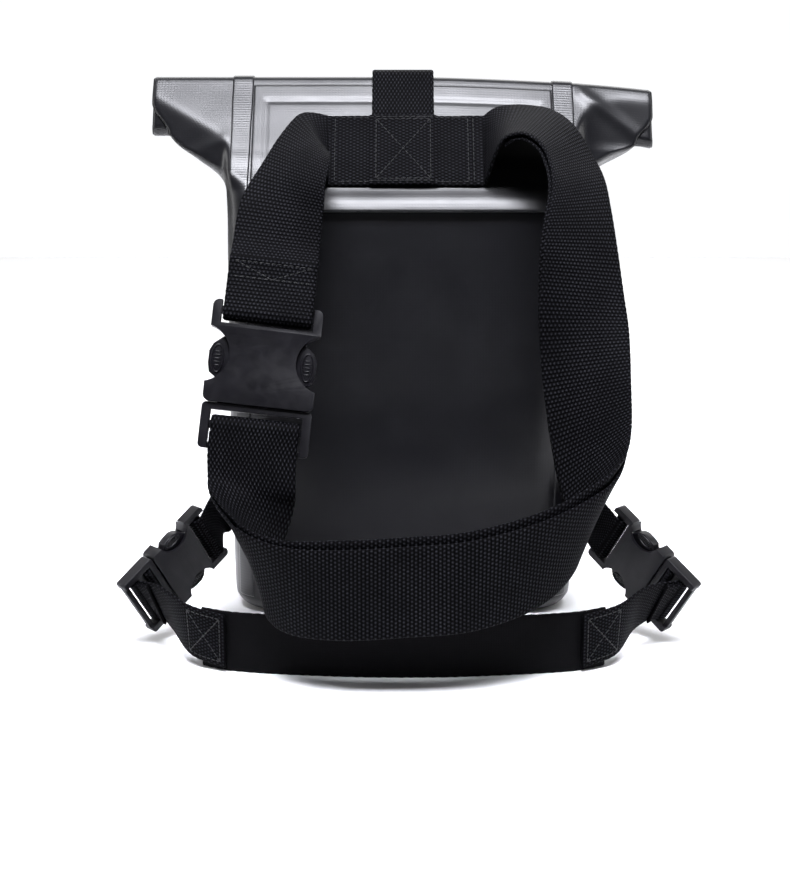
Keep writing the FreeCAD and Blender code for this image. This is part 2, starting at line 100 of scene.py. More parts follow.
# Edge points of the straps: x, y, z of one edge, then of the other.
LEFT_CURL = [
    (-45, -15, 246.5, -36, -45, 221), (-51, -19, 244.5, -34, -50, 227),
    (-59, -31, 234, -34, -59, 224), (-67, -44, 221, -36, -67, 213),
    (-75, -58, 206, -37, -67, 200), (-78, -67, 190, -38, -70, 185),
]
LEFT_TURN = [
    (-88, -105, 87, -48, -104, 79), (-86, -113, 83, -50, -101, 70),
    (-80, -122, 77, -56, -103, 55), (-73, -131, 72, -60, -117, 38),
]
FRONT_LOOP = [
    (-64, -138, 69, -58, -132, 30), (-48, -146, 66, -47, -143, 27),
    (-26, -151, 67, -26, -151, 27), (0, -153, 69, 0, -153, 29),
    (28, -151, 71, 28, -151, 31), (58, -142, 77, 54, -142, 37),
    (80, -131, 85, 70, -129, 46), (91, -123, 91, 77, -110, 56),
    (98, -112, 101, 71, -101, 73), (100, -104, 122, 65, -92, 108),
    (100, -94, 145, 62, -90, 141), (98, -84, 164, 61, -92, 168),
    (96, -74, 185, 61, -92, 188), (94, -64, 202, 63, -89, 202),
]
RIGHT_CURL = [
    (92, -54, 215, 65, -83, 212), (88, -43, 225, 65, -75, 221),
    (80, -32, 239, 62, -66, 230), (71, -24, 246, 56, -59, 235),
    (62, -19, 248, 50, -54, 235), (53, -16, 248.5, 46, -50, 232),
    (46, -14, 247.5, 43, -44, 224),
]
LEG_TAB = [
    (86.5, -4, 63, 86.5, -4, 38), (88, -20, 63, 88, -19, 38), (92, -36, 65, 90, -33, 40),
]
LEG_END = [
    (111, -101, 35, 106, -94, 11), (97, -112, 30, 96, -110, 5), (80, -118.6, 27, 80, -118.6, 2),
]
ELASTIC_HALF = [
    (91, -109.6), (78, -116.2), (60, -120.0), (40, -122.6), (20, -124.4), (0, -125.0),
]


# ---- numpy helpers -----------------------------------------------------------------------------
def unit(v):
    """Each vector divided by its length."""
    return v / np.linalg.norm(v, axis=-1, keepdims=True)


def ease(t):
    """Smooth step: 3t^2 - 2t^3 with t held between 0 and 1."""
    t = np.clip(t, 0.0, 1.0)
    return t * t * (3 - 2 * t)


def bump(t):
    """Bell curve: e to the minus t squared."""
    return np.exp(-t * t)


def smooth_line(points, steps):
    """Catmull-Rom curve through the points, the same cubic for every span, as one array."""
    points = np.asarray(points, float)
    p = np.concatenate([2 * points[:1] - points[1:2], points, 2 * points[-1:] - points[-2:-1]])
    t = (np.arange(steps) / steps)[None, :, None]
    p0, p1, p2, p3 = (p[i:len(p) - 3 + i, None, :] for i in range(4))
    curve = 0.5 * (2 * p1 + (p2 - p0) * t + (2 * p0 - 5 * p1 + 4 * p2 - p3) * t ** 2
                   + (3 * p1 - p0 - 3 * p2 + p3) * t ** 3)
    return np.concatenate([curve.reshape(-1, points.shape[1]), points[-1:]])


def even_steps(table, length, pitch):
    """The rows of a table read again at even steps of the running length."""
    count = max(int(round(length[-1] / pitch)), 2) + 1
    at = np.linspace(0, length[-1], count)
    return np.stack([np.interp(at, length, column) for column in table.T], -1)


def run_length(points):
    """Running length along a line of points."""
    return np.concatenate([[0.0], np.cumsum(np.linalg.norm(np.diff(points, axis=0), axis=1))])


def on_slope(x, up, off):
    """Points on the leaning back: the foot, plus x across, up the slope and off its face."""
    x, up, off = np.broadcast_arrays(np.asarray(x, float), up, off)
    across = np.stack([x, np.zeros_like(x), np.zeros_like(x)], -1)
    return FOOT + across + up[..., None] * UP + off[..., None] * OFF


def buckle_frame(name):
    """Origin, across, along and out-of-face axes of a buckle, and its sizes."""
    origin, along, across, size = BUCKLES[name]
    y = unit(np.array(along))
    x = np.array(across)
    x = unit(x - y * x.dot(y))
    return np.array(origin), x, y, np.cross(x, y), size


def in_buckle(name, x, y, z):
    """Points given in a buckle's own axes: origin plus x, y and z along them."""
    origin, ax, ay, az, _ = buckle_frame(name)
    x, y, z = np.broadcast_arrays(np.asarray(x, float), y, z)
    return origin + x[..., None] * ax + y[..., None] * ay + z[..., None] * az


# ---- meshes ------------------------------------------------------------------------------------
def link_new(name, data):
    """A new object with this data, linked into the scene."""
    obj = bpy.data.objects.new(name, data)
    bpy.context.scene.collection.objects.link(obj)
    return obj


def smooth_object(name, mesh):
    """A new object with this mesh, shaded smooth."""
    mesh.polygons.foreach_set("use_smooth", [True] * len(mesh.polygons))
    return link_new(name, mesh)


def put_mesh(name, points, faces, corner_uv=None):
    """Object from points in millimetres; its normals are turned outwards."""
    mesh = bpy.data.meshes.new(name)
    mesh.from_pydata((np.asarray(points).reshape(-1, 3) * MM).tolist(), [], faces)
    if corner_uv is not None:
        layer = mesh.uv_layers.new(name="Weave")
        layer.data.foreach_set("uv", np.asarray(corner_uv, np.float32).ravel())
    work = bmesh.new()
    work.from_mesh(mesh)
    bmesh.ops.recalc_face_normals(work, faces=work.faces)
    work.to_mesh(mesh)
    work.free()
    return smooth_object(name, mesh)


def swept(name, rings, plan):
    """Closed skin over rings: each ring's points join the next ring's, and both ends get a face.

    rings is (rows, around, 3); plan is (rows, around + 1, 2), the pattern's place in millimetres.
    """
    rows, around = rings.shape[:2]
    index = np.arange(rows * around).reshape(rows, around)
    wrapped = np.concatenate([index, index[:, :1]], 1)
    quads = np.stack([wrapped[:-1, :-1], wrapped[:-1, 1:], wrapped[1:, 1:], wrapped[1:, :-1]], -1)
    uv = np.stack([plan[:-1, :-1], plan[:-1, 1:], plan[1:, 1:], plan[1:, :-1]], 2)
    faces = quads.reshape(-1, 4).tolist() + [index[0, ::-1].tolist(), index[-1].tolist()]
    corner_uv = np.concatenate([uv.reshape(-1, 2), plan[0, around - 1::-1], plan[-1, :around]])
    return put_mesh(name, rings, faces, corner_uv * MM)


def dress(obj, material, body="root"):
    """Gives a piece its material and the body it moves with."""
    obj.data.materials.clear()
    obj.data.materials.append(material)
    if body:
        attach(obj, body)
    return obj


# ---- materials ---------------------------------------------------------------------------------
CORD_PITCH = 1.15 * MM      # spacing of the elastic's cords
PICK_PITCH = 1.1 * MM       # spacing of the picks across them
STRIP_GREY = (0.05, 0.05, 0.05)


def new_material(name):
    """An empty node material: its tree, shader and output joined."""
    material = bpy.data.materials.new(name)
    material.use_nodes = True
    tree = material.node_tree
    tree.nodes.clear()
    shader = tree.nodes.new("ShaderNodeBsdfPrincipled")
    output = tree.nodes.new("ShaderNodeOutputMaterial")
    tree.links.new(shader.outputs["BSDF"], output.inputs["Surface"])
    return material, tree, shader


def calc(tree, operation, a, b=None, clamp=False):
    """A math node on two values, each a number or another node's output."""
    node = tree.nodes.new("ShaderNodeMath")
    node.operation = operation
    node.use_clamp = clamp
    for socket, value in zip(node.inputs, (a, b)):
        if value is None:
            continue
        if isinstance(value, (int, float)):
            socket.default_value = value
        else:
            tree.links.new(value, socket)
    return node.outputs[0]


def plan_axes(tree):
    """Across and along outputs of the piece's own map, in metres."""
    place = tree.nodes.new("ShaderNodeUVMap")
    place.uv_map = "Weave"
    split = tree.nodes.new("ShaderNodeSeparateXYZ")
    tree.links.new(place.outputs["UV"], split.inputs[0])
    return split.outputs["X"], split.outputs["Y"]


def cloud(tree, scale, detail=3.0, low=0.0, high=1.0):
    """Noise on object coordinates, stretched from its usual 0.3-0.7 to low-high."""
    place = tree.nodes.new("ShaderNodeTexCoord")
    noise = tree.nodes.new("ShaderNodeTexNoise")
    noise.inputs["Scale"].default_value = scale
    noise.inputs["Detail"].default_value = detail
    tree.links.new(place.outputs["Object"], noise.inputs["Vector"])
    spread = tree.nodes.new("ShaderNodeMapRange")
    spread.clamp = False
    spread.inputs["From Min"].default_value = 0.3
    spread.inputs["From Max"].default_value = 0.7
    spread.inputs["To Min"].default_value = low
    spread.inputs["To Max"].default_value = high
    tree.links.new(noise.outputs["Fac"], spread.inputs["Value"])
    return spread.outputs["Result"]


def rounded_rows(tree, axis, pitch):
    """Rounded rows: the absolute value of a sine that is zero once in every pitch."""
    return calc(tree, "ABSOLUTE", calc(tree, "SINE", calc(tree, "MULTIPLY", axis, math.pi / pitch)))


def relief(tree, shader, height, depth, after=None):
    """A bump node: height 0-1 stands for depth in metres."""
    node = tree.nodes.new("ShaderNodeBump")
    node.inputs["Distance"].default_value = depth
    tree.links.new(height, node.inputs["Height"])
    if after is not None:
        tree.links.new(after, node.inputs["Normal"])
    tree.links.new(node.outputs["Normal"], shader.inputs["Normal"])
    return node.outputs["Normal"]


def two_tone(tree, shader, factor, dark, light):
    """Base colour that goes from dark to light with the factor."""
    ramp = tree.nodes.new("ShaderNodeValToRGB")
    ramp.color_ramp.elements[0].color = (*dark, 1)
    ramp.color_ramp.elements[1].color = (*light, 1)
    tree.links.new(factor, ramp.inputs["Fac"])
    tree.links.new(ramp.outputs["Color"], shader.inputs["Base Color"])


def tarpaulin(name, sizes, colours, ribs=False, gloss=0.36):
    """Coated fabric: a faint square scrim under a glossy skin; ribs adds a pressed weld pattern."""
    material, tree, shader = new_material(name)
    warp, weft = (calc(tree, "POWER", rounded_rows(tree, axis, sizes.scrim_pitch), 3.0)
                  for axis in plan_axes(tree))
    grid = weft if ribs else calc(tree, "MAXIMUM", warp, weft)
    grid = calc(tree, "MULTIPLY", grid, cloud(tree, 55.0, 2.0, 0.25, 1.0))
    creases = relief(tree, shader, cloud(tree, 30.0, 1.0), 0.22 * MM)
    relief(tree, shader, grid, (0.03 if ribs else 0.025) * MM, creases)
    two_tone(tree, shader, cloud(tree, 90.0, 4.0), tuple(colours.fabric_dark), tuple(colours.fabric))
    tree.links.new(cloud(tree, 60.0, 2.0, gloss - 0.02, gloss + 0.03), shader.inputs["Roughness"])
    shader.inputs["Specular IOR Level"].default_value = 0.44
    return material


def weave(name, sizes, colours, rib=0.5, depth=0.35 * MM, pitch_scale=1.0):
    """Webbing: staggered yarn crowns, the product of two sines, over ribs across the strap."""
    material, tree, shader = new_material(name)
    across, along = plan_axes(tree)
    pitch = sizes.weave_pitch * pitch_scale
    wave_a = calc(tree, "SINE", calc(tree, "MULTIPLY", across, TAU / (pitch * 1.05)))
    wave_b = calc(tree, "SINE", calc(tree, "MULTIPLY", along, TAU / (pitch * 2.0)))
    crowns = calc(tree, "ADD", calc(tree, "MULTIPLY", calc(tree, "MULTIPLY", wave_a, wave_b), 0.5), 0.5)
    ribs = calc(tree, "ABSOLUTE", wave_b)
    height = calc(tree, "ADD", calc(tree, "MULTIPLY", crowns, 1.0 - rib),
                  calc(tree, "MULTIPLY", ribs, rib))
    height = calc(tree, "MULTIPLY", height, cloud(tree, 2600.0, 2.0, 0.85, 1.1))
    relief(tree, shader, height, depth)
    # Colour follows the height: yarn crowns painted lighter as a painted highlight, the hollows between the
    # yarns painted dark as painted shade.
    painted_light_mask = calc(tree, "POWER", height, 4.0, True)
    tone = calc(tree, "MULTIPLY", painted_light_mask, cloud(tree, 60.0, 2.0, 0.7, 1.1), True)
    two_tone(tree, shader, tone, tuple(colours.webbing_painted_shade), tuple(colours.webbing))
    shader.inputs["Roughness"].default_value = 0.62
    shader.inputs["Specular IOR Level"].default_value = 0.03
    shader.inputs["Sheen Weight"].default_value = 0.08
    shader.inputs["Sheen Roughness"].default_value = 0.4
    shader.inputs["Sheen Tint"].default_value = (0.02, 0.02, 0.022, 1)
    return material


def knit_elastic(sizes, colours):
    """Elastic: fine cords along the band and finer picks across it."""
    material, tree, shader = new_material("knit_elastic")
    across, along = plan_axes(tree)
    cords = rounded_rows(tree, across, CORD_PITCH)
    picks = rounded_rows(tree, along, PICK_PITCH)
    height = calc(tree, "ADD", calc(tree, "MULTIPLY", cords, 0.6), calc(tree, "MULTIPLY", picks, 0.4))
    relief(tree, shader, height, 0.09 * MM)
    # Colour follows the height: lighter on the cords, painted shade darkening the grooves between cords and
    # picks.
    two_tone(tree, shader, calc(tree, "MULTIPLY", height, cloud(tree, 80.0, 2.0, 0.6, 1.0), True),
             tuple(colours.elastic_painted_shade), tuple(colours.elastic))
    shader.inputs["Roughness"].default_value = 0.7
    shader.inputs["Specular IOR Level"].default_value = 0.06
    return material


def moulded_plastic(name, colour, gloss, sizes):
    """Moulded plastic: fine grain, slightly uneven gloss and colour."""
    material, tree, shader = new_material(name)
    relief(tree, shader, cloud(tree, sizes.grain_scale, 2.0), 0.01 * MM)
    light = tuple(min(c * 1.5 + 0.001, 1.0) for c in colour)
    two_tone(tree, shader, cloud(tree, 160.0, 5.0), tuple(colour), light)
    tree.links.new(cloud(tree, 220.0, 4.0, gloss - 0.06, gloss + 0.08), shader.inputs["Roughness"])
    shader.inputs["Specular IOR Level"].default_value = 0.22
    return material


def sewing_thread(colours):
    """Bonded thread: twisted plies seen as slanting bands."""
    material, tree, shader = new_material("sewing_thread")
    place = tree.nodes.new("ShaderNodeTexCoord")
    bands = tree.nodes.new("ShaderNodeTexWave")
    bands.bands_direction = "DIAGONAL"
    bands.inputs["Scale"].default_value = 900.0
    tree.links.new(place.outputs["Object"], bands.inputs["Vector"])
    relief(tree, shader, bands.outputs["Fac"], 0.08 * MM)
    # Colour follows the twist's bands: lighter on the plies, painted shade in the grooves between them.
    two_tone(tree, shader, bands.outputs["Fac"], tuple(colours.webbing_painted_shade), tuple(colours.thread))
    shader.inputs["Roughness"].default_value = 0.45
    shader.inputs["Specular IOR Level"].default_value = 0.4
    return material


def finishes():
    """The materials, made once and kept by name."""
    scene = bpy.context.scene
    sizes, colours = scene.dry_bag_sizes, scene.dry_bag_colours
    makers = {
        "tarpaulin": lambda: tarpaulin("tarpaulin", sizes, colours),
        "weld_tape": lambda: tarpaulin("weld_tape", sizes, colours, ribs=True, gloss=0.34),
        "belt_weave": lambda: weave("belt_weave", sizes, colours),
        "band_weave": lambda: weave("band_weave", sizes, colours, rib=0.15, depth=0.4 * MM),
        "dotted_weave": lambda: weave("dotted_weave", sizes, colours, rib=0.1, depth=0.4 * MM),
        "leg_weave": lambda: weave("leg_weave", sizes, colours, 0.3, 0.3 * MM, pitch_scale=0.9),
        "knit_elastic": lambda: knit_elastic(sizes, colours),
        "moulded_body": lambda: moulded_plastic("moulded_body", colours.plastic, 0.42, sizes),
        "moulded_latch": lambda: moulded_plastic("moulded_latch", colours.plastic, 0.34, sizes),
        "moulded_strip": lambda: moulded_plastic("moulded_strip", STRIP_GREY, 0.5, sizes),
        "sewing_thread": lambda: sewing_thread(colours),
    }
    return {key: bpy.data.materials.get(key) or make() for key, make in makers.items()}


# ---- shell of the bag --------------------------------------------------------------------------
# Back y, z, front y, z, half width and corner radius of the shell, from the ground to the roll.
SHELL_ROWS = [
    (-28.0, 0.0, 28.0, 0.0, 73.0, 10.4), (-34.0, 1.6, 34.0, 1.6, 79.0, 15.2),
    (-38.4, 6.0, 38.4, 6.0, 83.4, 18.7), (-40.0, 12.5, 40.0, 12.5, 85.0, 20.0),
    (-40.4, 40.0, 41.0, 40.0, 85.4, 20.5), (-40.6, 80.0, 42.0, 80.0, 85.8, 21.0),
    (-40.6, 120.0, 42.0, 120.0, 86.0, 21.0), (-40.3, 160.0, 40.8, 160.0, 85.6, 20.5),
    (-40.0, 186.0, 36.5, 184.0, 85.2, 19.0), (-39.8, 197.0, 32.5, 197.0, 85.0, 18.0),
    (-38.4, 205.5, 28.0, 205.0, 85.3, 17.0), (-34.6, 211.2, 22.0, 212.0, 86.6, 14.5),
    (-30.3, 217.4, 15.5, 218.0, 91.0, 11.0), (-25.6, 223.8, 5.0, 225.0, 100.5, 7.0),
    (-20.8, 230.4, -7.0, 231.0, 109.5, 3.2),
]
ROW_STEPS = 10              # levels made between two rows
CORNER = 20.0               # radius of the body's upright corners
TWO_PLY = 0.75              # half of two layers of fabric
TAPE_WIDTH = 9.8
TAPE_MIDDLE = 78.3          # middle of a seam tape, from the middle of the back
PATCH_HALF = 73.0           # half the width of the welded patch
EAR_START = 83.2            # where the roll's free ends begin, just outside the tapes
EAR_UNDER = 0.42            # how far the ears lean under, for each millimetre down the slope
CREASE_SOFT = 1.5           # softness of the creases above and below the ears' hollows


def roll_path():
    """Points across the roll's turns (up the slope, off it): straight runs joined by half circles."""
    def arc(centre, radius, start, finish, count):
        turn = np.radians(np.linspace(start, finish, count))
        return np.stack([centre[0] + radius * np.cos(turn), centre[1] + radius * np.sin(turn)], -1)

    def line(u0, u1, v, count):
        return np.stack([np.linspace(u0, u1, count), np.full(count, v)], -1)
    runs = [
        line(-19.0, ROLL_HALF - 0.4, 3.7, 22), arc((ROLL_HALF, 0.0), 3.7, 90, -90, 19),
        line(ROLL_HALF - 0.4, -ROLL_HALF + 0.4, -3.7, 16), arc((-ROLL_HALF, -0.85), 2.85, 270, 90, 15),
        line(-ROLL_HALF + 0.4, 10.1, 2.0, 14), arc((10.5, 0.0), 2.0, 90, -90, 11),
        line(10.1, -10.0, -2.0, 12),
    ]
    return np.concatenate(runs)


def shell_table():
    """Rows of the shell up to the mouth: back y, z, front y, z, half width, corner, running length."""
    path = roll_path()
    ahead = unit(np.gradient(path, axis=0))
    left = np.stack([-ahead[:, 1], ahead[:, 0]], -1) * TWO_PLY
    back, front = path + left, path - left
    back = on_slope(0, ROLL_MID + back[:, 0], back[:, 1] - ROLL_SINK)
    front = on_slope(0, ROLL_MID + front[:, 0], front[:, 1] - ROLL_SINK)
    turn = np.linspace(0, 1, len(path))
    half = HALF_MOUTH - 0.6 * np.sin(turn * 9.0) - 1.2 * turn - 9.0 * (1 - ease(turn * 8.5))
    rolled = np.column_stack([back[:, 1:], front[:, 1:], half, np.full(len(path), TWO_PLY)])
    body = smooth_line(SHELL_ROWS + [tuple(rolled[0])], ROW_STEPS)[:-1]
    rows = np.concatenate([body, rolled])
    middle = np.where(np.arange(len(rows)) < len(body), 0.0, 0.5)[:, None]
    track = rows[:, 0:2] * (1 - middle) + rows[:, 2:4] * middle
    step = np.concatenate([[0.0], np.linalg.norm(np.diff(track, axis=0), axis=1)])
    step[len(body)] = 2.4
    return np.column_stack([rows, np.cumsum(step)])


SHELL = shell_table()
GIRTH = 4 * (HALF_WIDTH + FRONT - 2 * CORNER + math.pi / 2 * CORNER)
RIPPLE = np.random.default_rng(7).uniform(0, TAU, (10, 2))


def shell_point(across, height):
    """Points on the bag for a distance round it from the middle of the back, and up it.

    Each level is a rounded rectangle: along the flat, round the corner, then up the side; the
    front half mirrors the back.  The distance is stretched to the level's own girth.  Then the
    whole is warped: the roll droops to the right, its ends lean under, and soft ripples are added.
    """
    across, height = np.broadcast_arrays(np.asarray(across, float), np.asarray(height, float))
    row = [np.interp(height, SHELL[:, 6], SHELL[:, k]) for k in range(6)]
    back, front = np.stack(row[0:2], -1), np.stack(row[2:4], -1)
    half_w, radius = row[4], row[5]
    half_d = np.linalg.norm(front - back, axis=-1) / 2
    radius = np.minimum(radius, half_d)
    quarter = (half_w - radius) + math.pi / 2 * radius + (half_d - radius)
    s = np.abs(across) / GIRTH * 4 * quarter
    near = np.where(s > quarter, 2 * quarter - s, s)
    flat = np.clip(near, 0, half_w - radius)
    turn = np.clip((near - (half_w - radius)) / radius, 0, math.pi / 2)
    side = np.clip(near - (half_w - radius) - math.pi / 2 * radius, 0, None)
    x = (flat + radius * np.sin(turn)) * np.sign(across)
    depth = (half_d - radius) + radius * np.cos(turn) - side
    depth = np.where(s > quarter, depth, -depth)
    axis = unit(front - back)
    centre = (front + back) / 2
    yz = centre + axis * depth[..., None]
    return warped(np.concatenate([x[..., None], yz], -1), s > quarter)


def warped(p, on_front):
    """The warp of the shell, added to its points.

    The roll's ends lean under between two slanting creases, each the soft corner log(1 + e^t), and
    a bell makes a ridge across that hollow.  The droop is a power of the distance to the right.
    The ripples of a partly filled bag are products of sines.
    """
    x, z = p[..., 0], p[..., 2]
    up = (p - FOOT) @ UP
    ear = ease((np.abs(x) - EAR_START) / 4.5) * ease((z - 203) / 10)
    upper = np.where(x > 0, 67.5 - 9.5 * np.exp(-(x - 90) / 7), 41 + (-x - 90.6) * 0.68)
    lower = np.where(x > 0, 12 + (x - 107) * 0.72, -4 + (-x - 92) * 0.5)
    hollow = np.logaddexp(0, (upper - up) / CREASE_SOFT) - np.logaddexp(0, (lower - up) / CREASE_SOFT)
    slant = np.where(x > 0, 59.3 - (x - 97.7) * 0.80, 33 - (-x - 92) * 0.45)
    ridge = np.where(x > 0, 1.0, 0.7) * bump((up - slant) / 4.5) * ear
    out = p + (ridge * ease((up - 12) / 12))[..., None] * OFF
    out[..., 1] += EAR_UNDER * CREASE_SOFT * hollow * ear
    droop = -2.6 * (np.clip(x, 0, 76) / 76) ** 1.6 - 4.2 * (np.clip(x - 76, 0, 50) / 50) ** 1.3
    out[..., 2] += droop * ease((up - 26) / 16)
    ripple = 0
    for k, (a, b) in enumerate(RIPPLE):
        fx, fz = 0.018 + 0.012 * k, 0.014 + 0.010 * ((k * 7) % 10)
        ripple = ripple + np.sin(x * fx + a) * np.sin((z + 0.6 * p[..., 1]) * fz + b) / (1 + k)
    body = ease((z - 10) / 30) * (1 - 0.55 * ease((z - 196) / 20))
    push = 0.42 * ripple * body
    push = push + 0.12 * np.sin(up * 0.45 + 0.05 * x) * ease((up - 6) / 10) * ease((34 - up) / 8)
    out[..., 1] += np.where(on_front, push, -push)
    return out


def across_at(x, heights):
    """Distance round the bag that lands x from its middle, at each level, by repeated correction."""
    across = np.full(len(heights), float(x))
    for _ in range(20):
        across = across + x - shell_point(across, heights)[:, 0]
    return across


def shell_normal(across, height):
    """Outward direction of the shell, from the cross product of its two small steps."""
    step = 0.15
    du = shell_point(across + step, height) - shell_point(across - step, height)
    dv = shell_point(across, height + step) - shell_point(across, height - step)
    return unit(np.cross(du, dv))


def shell_height(z):
    """Running length up the back at a given height of the upright wall or the slope."""
    body = SHELL[:len(SHELL_ROWS) * ROW_STEPS]
    return float(np.interp(z, body[:, 1], body[:, 6]))


def slope_height(up):
    """Running length up the back at a given distance up the slope, on to the roll's face."""
    start = shell_height(FOOT_Z + 22 * math.cos(LEAN))
    return start + (up - 22.0)


def make_shell(name, material):
    """The bag as one skin: base, walls, neck and rolled mouth, sampled closely round and up."""
    around, top = 300, SHELL[-1, 6]
    s = (np.arange(around + 1) / around - 0.5) * GIRTH
    levels = np.concatenate([np.linspace(0, 16, 12), np.linspace(18, 200, 92),
                             np.linspace(201.2, top, 210)])
    rings = shell_point(s[None, :-1] + 1e-4, levels[:, None])
    centre = rings[0].mean(0)
    shrink = np.array([0.04, 0.25, 0.5, 0.75, 0.92])[:, None, None]
    base = centre + (rings[:1] - centre) * shrink
    base[..., 2] += 1.2 * (1 - shrink[..., 0] ** 2)
    rings = np.concatenate([base, rings])
    heights = np.concatenate([-40 * (1 - shrink[:, 0, 0]), levels])
    plan = np.stack(np.broadcast_arrays(s[None, :], heights[:, None]), -1)
    return dress(swept(name, rings, plan), material)


def make_stiffener(name, material):
    """Flat strip inside the roll: a rounded rectangle carried across it and warped as the shell is."""
    x = np.linspace(-HALF_MOUTH * 0.66, HALF_MOUTH * 0.66, 100)
    corner = np.radians(np.array([0, 45, 90]))
    u = np.concatenate([9.0 + 0.5 * np.cos(corner), -9.5 - 0.5 * np.sin(corner),
                        -9.5 - 0.5 * np.cos(corner), 9.0 + 0.5 * np.sin(corner)])
    v = np.concatenate([0.4 + 0.5 * np.sin(corner), 0.4 + 0.5 * np.cos(corner),
                        -0.4 - 0.5 * np.sin(corner), -0.4 - 0.5 * np.cos(corner)])
    rings = on_slope(x[:, None], ROLL_MID + u[None, :], v[None, :] - ROLL_SINK)
    rings = warped(rings, np.zeros(rings.shape[:2], bool))
    loop = run_length(np.column_stack([np.append(u, u[0]), np.append(v, v[0])]))
    plan = np.stack(np.broadcast_arrays(loop[None, :], x[:, None]), -1)
    return dress(swept(name, rings, plan), material)


def plate(name, s, heights, rise, material):
    """A thin sheet on the shell: the top stands off by rise, the underside lies just below the skin."""
    s_grid, h_grid = np.broadcast_arrays(s, heights[:, None])
    foot = shell_point(s_grid, h_grid)
    normal = shell_normal(s_grid, h_grid)
    top = foot + normal * rise[..., None]
    under = (foot - normal * 0.25)[:, ::-1]
    rings = np.concatenate([top, under], 1)
    plan = np.stack([s_grid, h_grid], -1)
    plan = np.concatenate([plan, plan[:, ::-1], plan[:, :1]], 1)
    return dress(swept(name, rings, plan), material)


def edge_rise(t, width, soft):
    """0 at both ends of a strip, 1 inside: how far a rounded edge has risen at distance t."""
    inside = np.minimum(t, width - t)
    return np.sqrt(np.clip(1 - (1 - np.clip(inside / soft, 0, 1)) ** 2, 0, 1))


def make_tapes(materials):
    """Welded tapes over the back corners, from the base up and over the roll."""
    low, high = shell_height(9.0), slope_height(ROLL_MID + ROLL_HALF + 9)
    heights = np.linspace(low, high, 300)
    edge = np.array([0, 0.15, 0.4, 0.8, 1.4])
    local = np.concatenate([edge, np.linspace(2.2, TAPE_WIDTH - 2.2, 7), TAPE_WIDTH - edge[::-1]])
    middle = across_at(TAPE_MIDDLE, heights)
    for side, name in ((-1, "seam_tape_left"), (1, "seam_tape_right")):
        s = np.sort(side * (local - TAPE_WIDTH / 2))
        s = s[None, :] + side * middle[:, None]
        across = edge_rise(local, TAPE_WIDTH, 0.8)
        ends = edge_rise(heights - low, high - low, 1.0)
        rise = 0.72 * across[None, :] * ends[:, None] - 0.02
        piece = plate(name + "_weld", s, heights, rise, materials["weld_tape"])
        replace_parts(piece, name)


def make_patch(material):
    """Welded patch on the slope: rounded border, a pressed line inside it and a lip at its foot."""
    low, high = shell_height(200.0), slope_height(70.0)
    half = PATCH_HALF
    edge = np.array([0, 0.15, 0.4, 0.9, 1.6])
    s = np.concatenate([-half + edge, np.linspace(-half + 2.4, half - 2.4, 128), half - edge[::-1]])
    tall = high - low
    t = np.concatenate([edge, np.linspace(2.4, tall - 2.4, 78), tall - edge[::-1]])
    heights = low + t
    ss, tt = np.meshgrid(s + half, t)
    rise = 0.85 * edge_rise(ss, 2 * half, 0.9) * edge_rise(tt, tall, 0.9)
    inset = np.minimum(np.minimum(ss, 2 * half - ss), (tall - tt) * 0.65)
    pressed = bump((inset - 6.5) / 0.8) * ease((tt - 7) / 3)
    rise = rise - 0.30 * pressed + 0.12 * ease((6.0 - inset) / 2)
    lip = 0.36 * np.logaddexp(0, 8.5 - tt)
    rise = rise + lip * edge_rise(ss, 2 * half, 3.0) * edge_rise(tt, tall, 0.5)
    s = s * (across_at(half, heights) / half)[:, None]
    piece = plate("back_patch_weld", s, heights, rise, material)
    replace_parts(piece, "back_patch")


# ---- webbing -----------------------------------------------------------------------------------
SEAM_OFF = 0.9              # from the slope to the webbing sewn on it
PROUD_OF_TAIL = 3.4         # how far the front loop stands above its tail, edge over edge
FOLD_LENGTH = 27.0          # the leg webbing's second layer at the plug
FOLD_OFF = 1.62


def strap_line(stations, width, pitch=1.5):
    """Middle, across, face and running length of flat webbing.

    Both edges are Catmull-Rom curves; across is the unit vector between them, and the face
    direction is the cross product of the way ahead and across.
    """
    stations = np.asarray(stations, float)
    first, second = smooth_line(stations[:, :3], 14), smooth_line(stations[:, 3:], 14)
    table = np.column_stack([(first + second) / 2, unit(first - second)])
    table = even_steps(table, run_length(table[:, :3]), pitch)
    mid, across = table[:, :3], unit(table[:, 3:])
    face = unit(np.cross(np.gradient(mid, axis=0), across))
    return {"mid": mid, "across": across, "face": face, "at": run_length(mid), "width": width}


def web_rings(line, thick):
    """Rings of webbing: flat faces, round edges and a slightly thicker selvedge along each edge.

    The height over x from -1 to 1 across is half the thickness times the square root of
    1 - x^16, times one plus a small bell near each edge.  The width varies a little with a sine
    along the strap.
    """
    half = line["width"] / 2
    x = np.sin(np.linspace(-math.pi / 2, math.pi / 2, 25))
    selvedge = 1 + 0.22 * bump(((1 - np.abs(x)) * half - 1.1) / 0.8)
    height = thick / 2 * np.sqrt(1 - x ** 16) * selvedge
    loop_x = np.concatenate([x, x[-2:0:-1]])
    loop_h = np.concatenate([height, -height[-2:0:-1]])
    scallop = 1 + 0.10 / half * np.sin(line["at"] * TAU / 3.4)
    rings = (line["mid"][:, None] + line["across"][:, None] * (loop_x * half)[None, :, None]
             * scallop[:, None, None] + line["face"][:, None] * loop_h[None, :, None])
    return rings, loop_x * half


def webbing(name, line, thick, material, body="root", slot="webbing"):
    """A strap from its line; the pattern runs across and along it."""
    rings, across = web_rings(line, thick)
    across = np.append(across, across[0])
    plan = np.stack(np.broadcast_arrays(across[None, :], line["at"][:, None]), -1)
    return dress(swept(name, rings, plan), material, body)


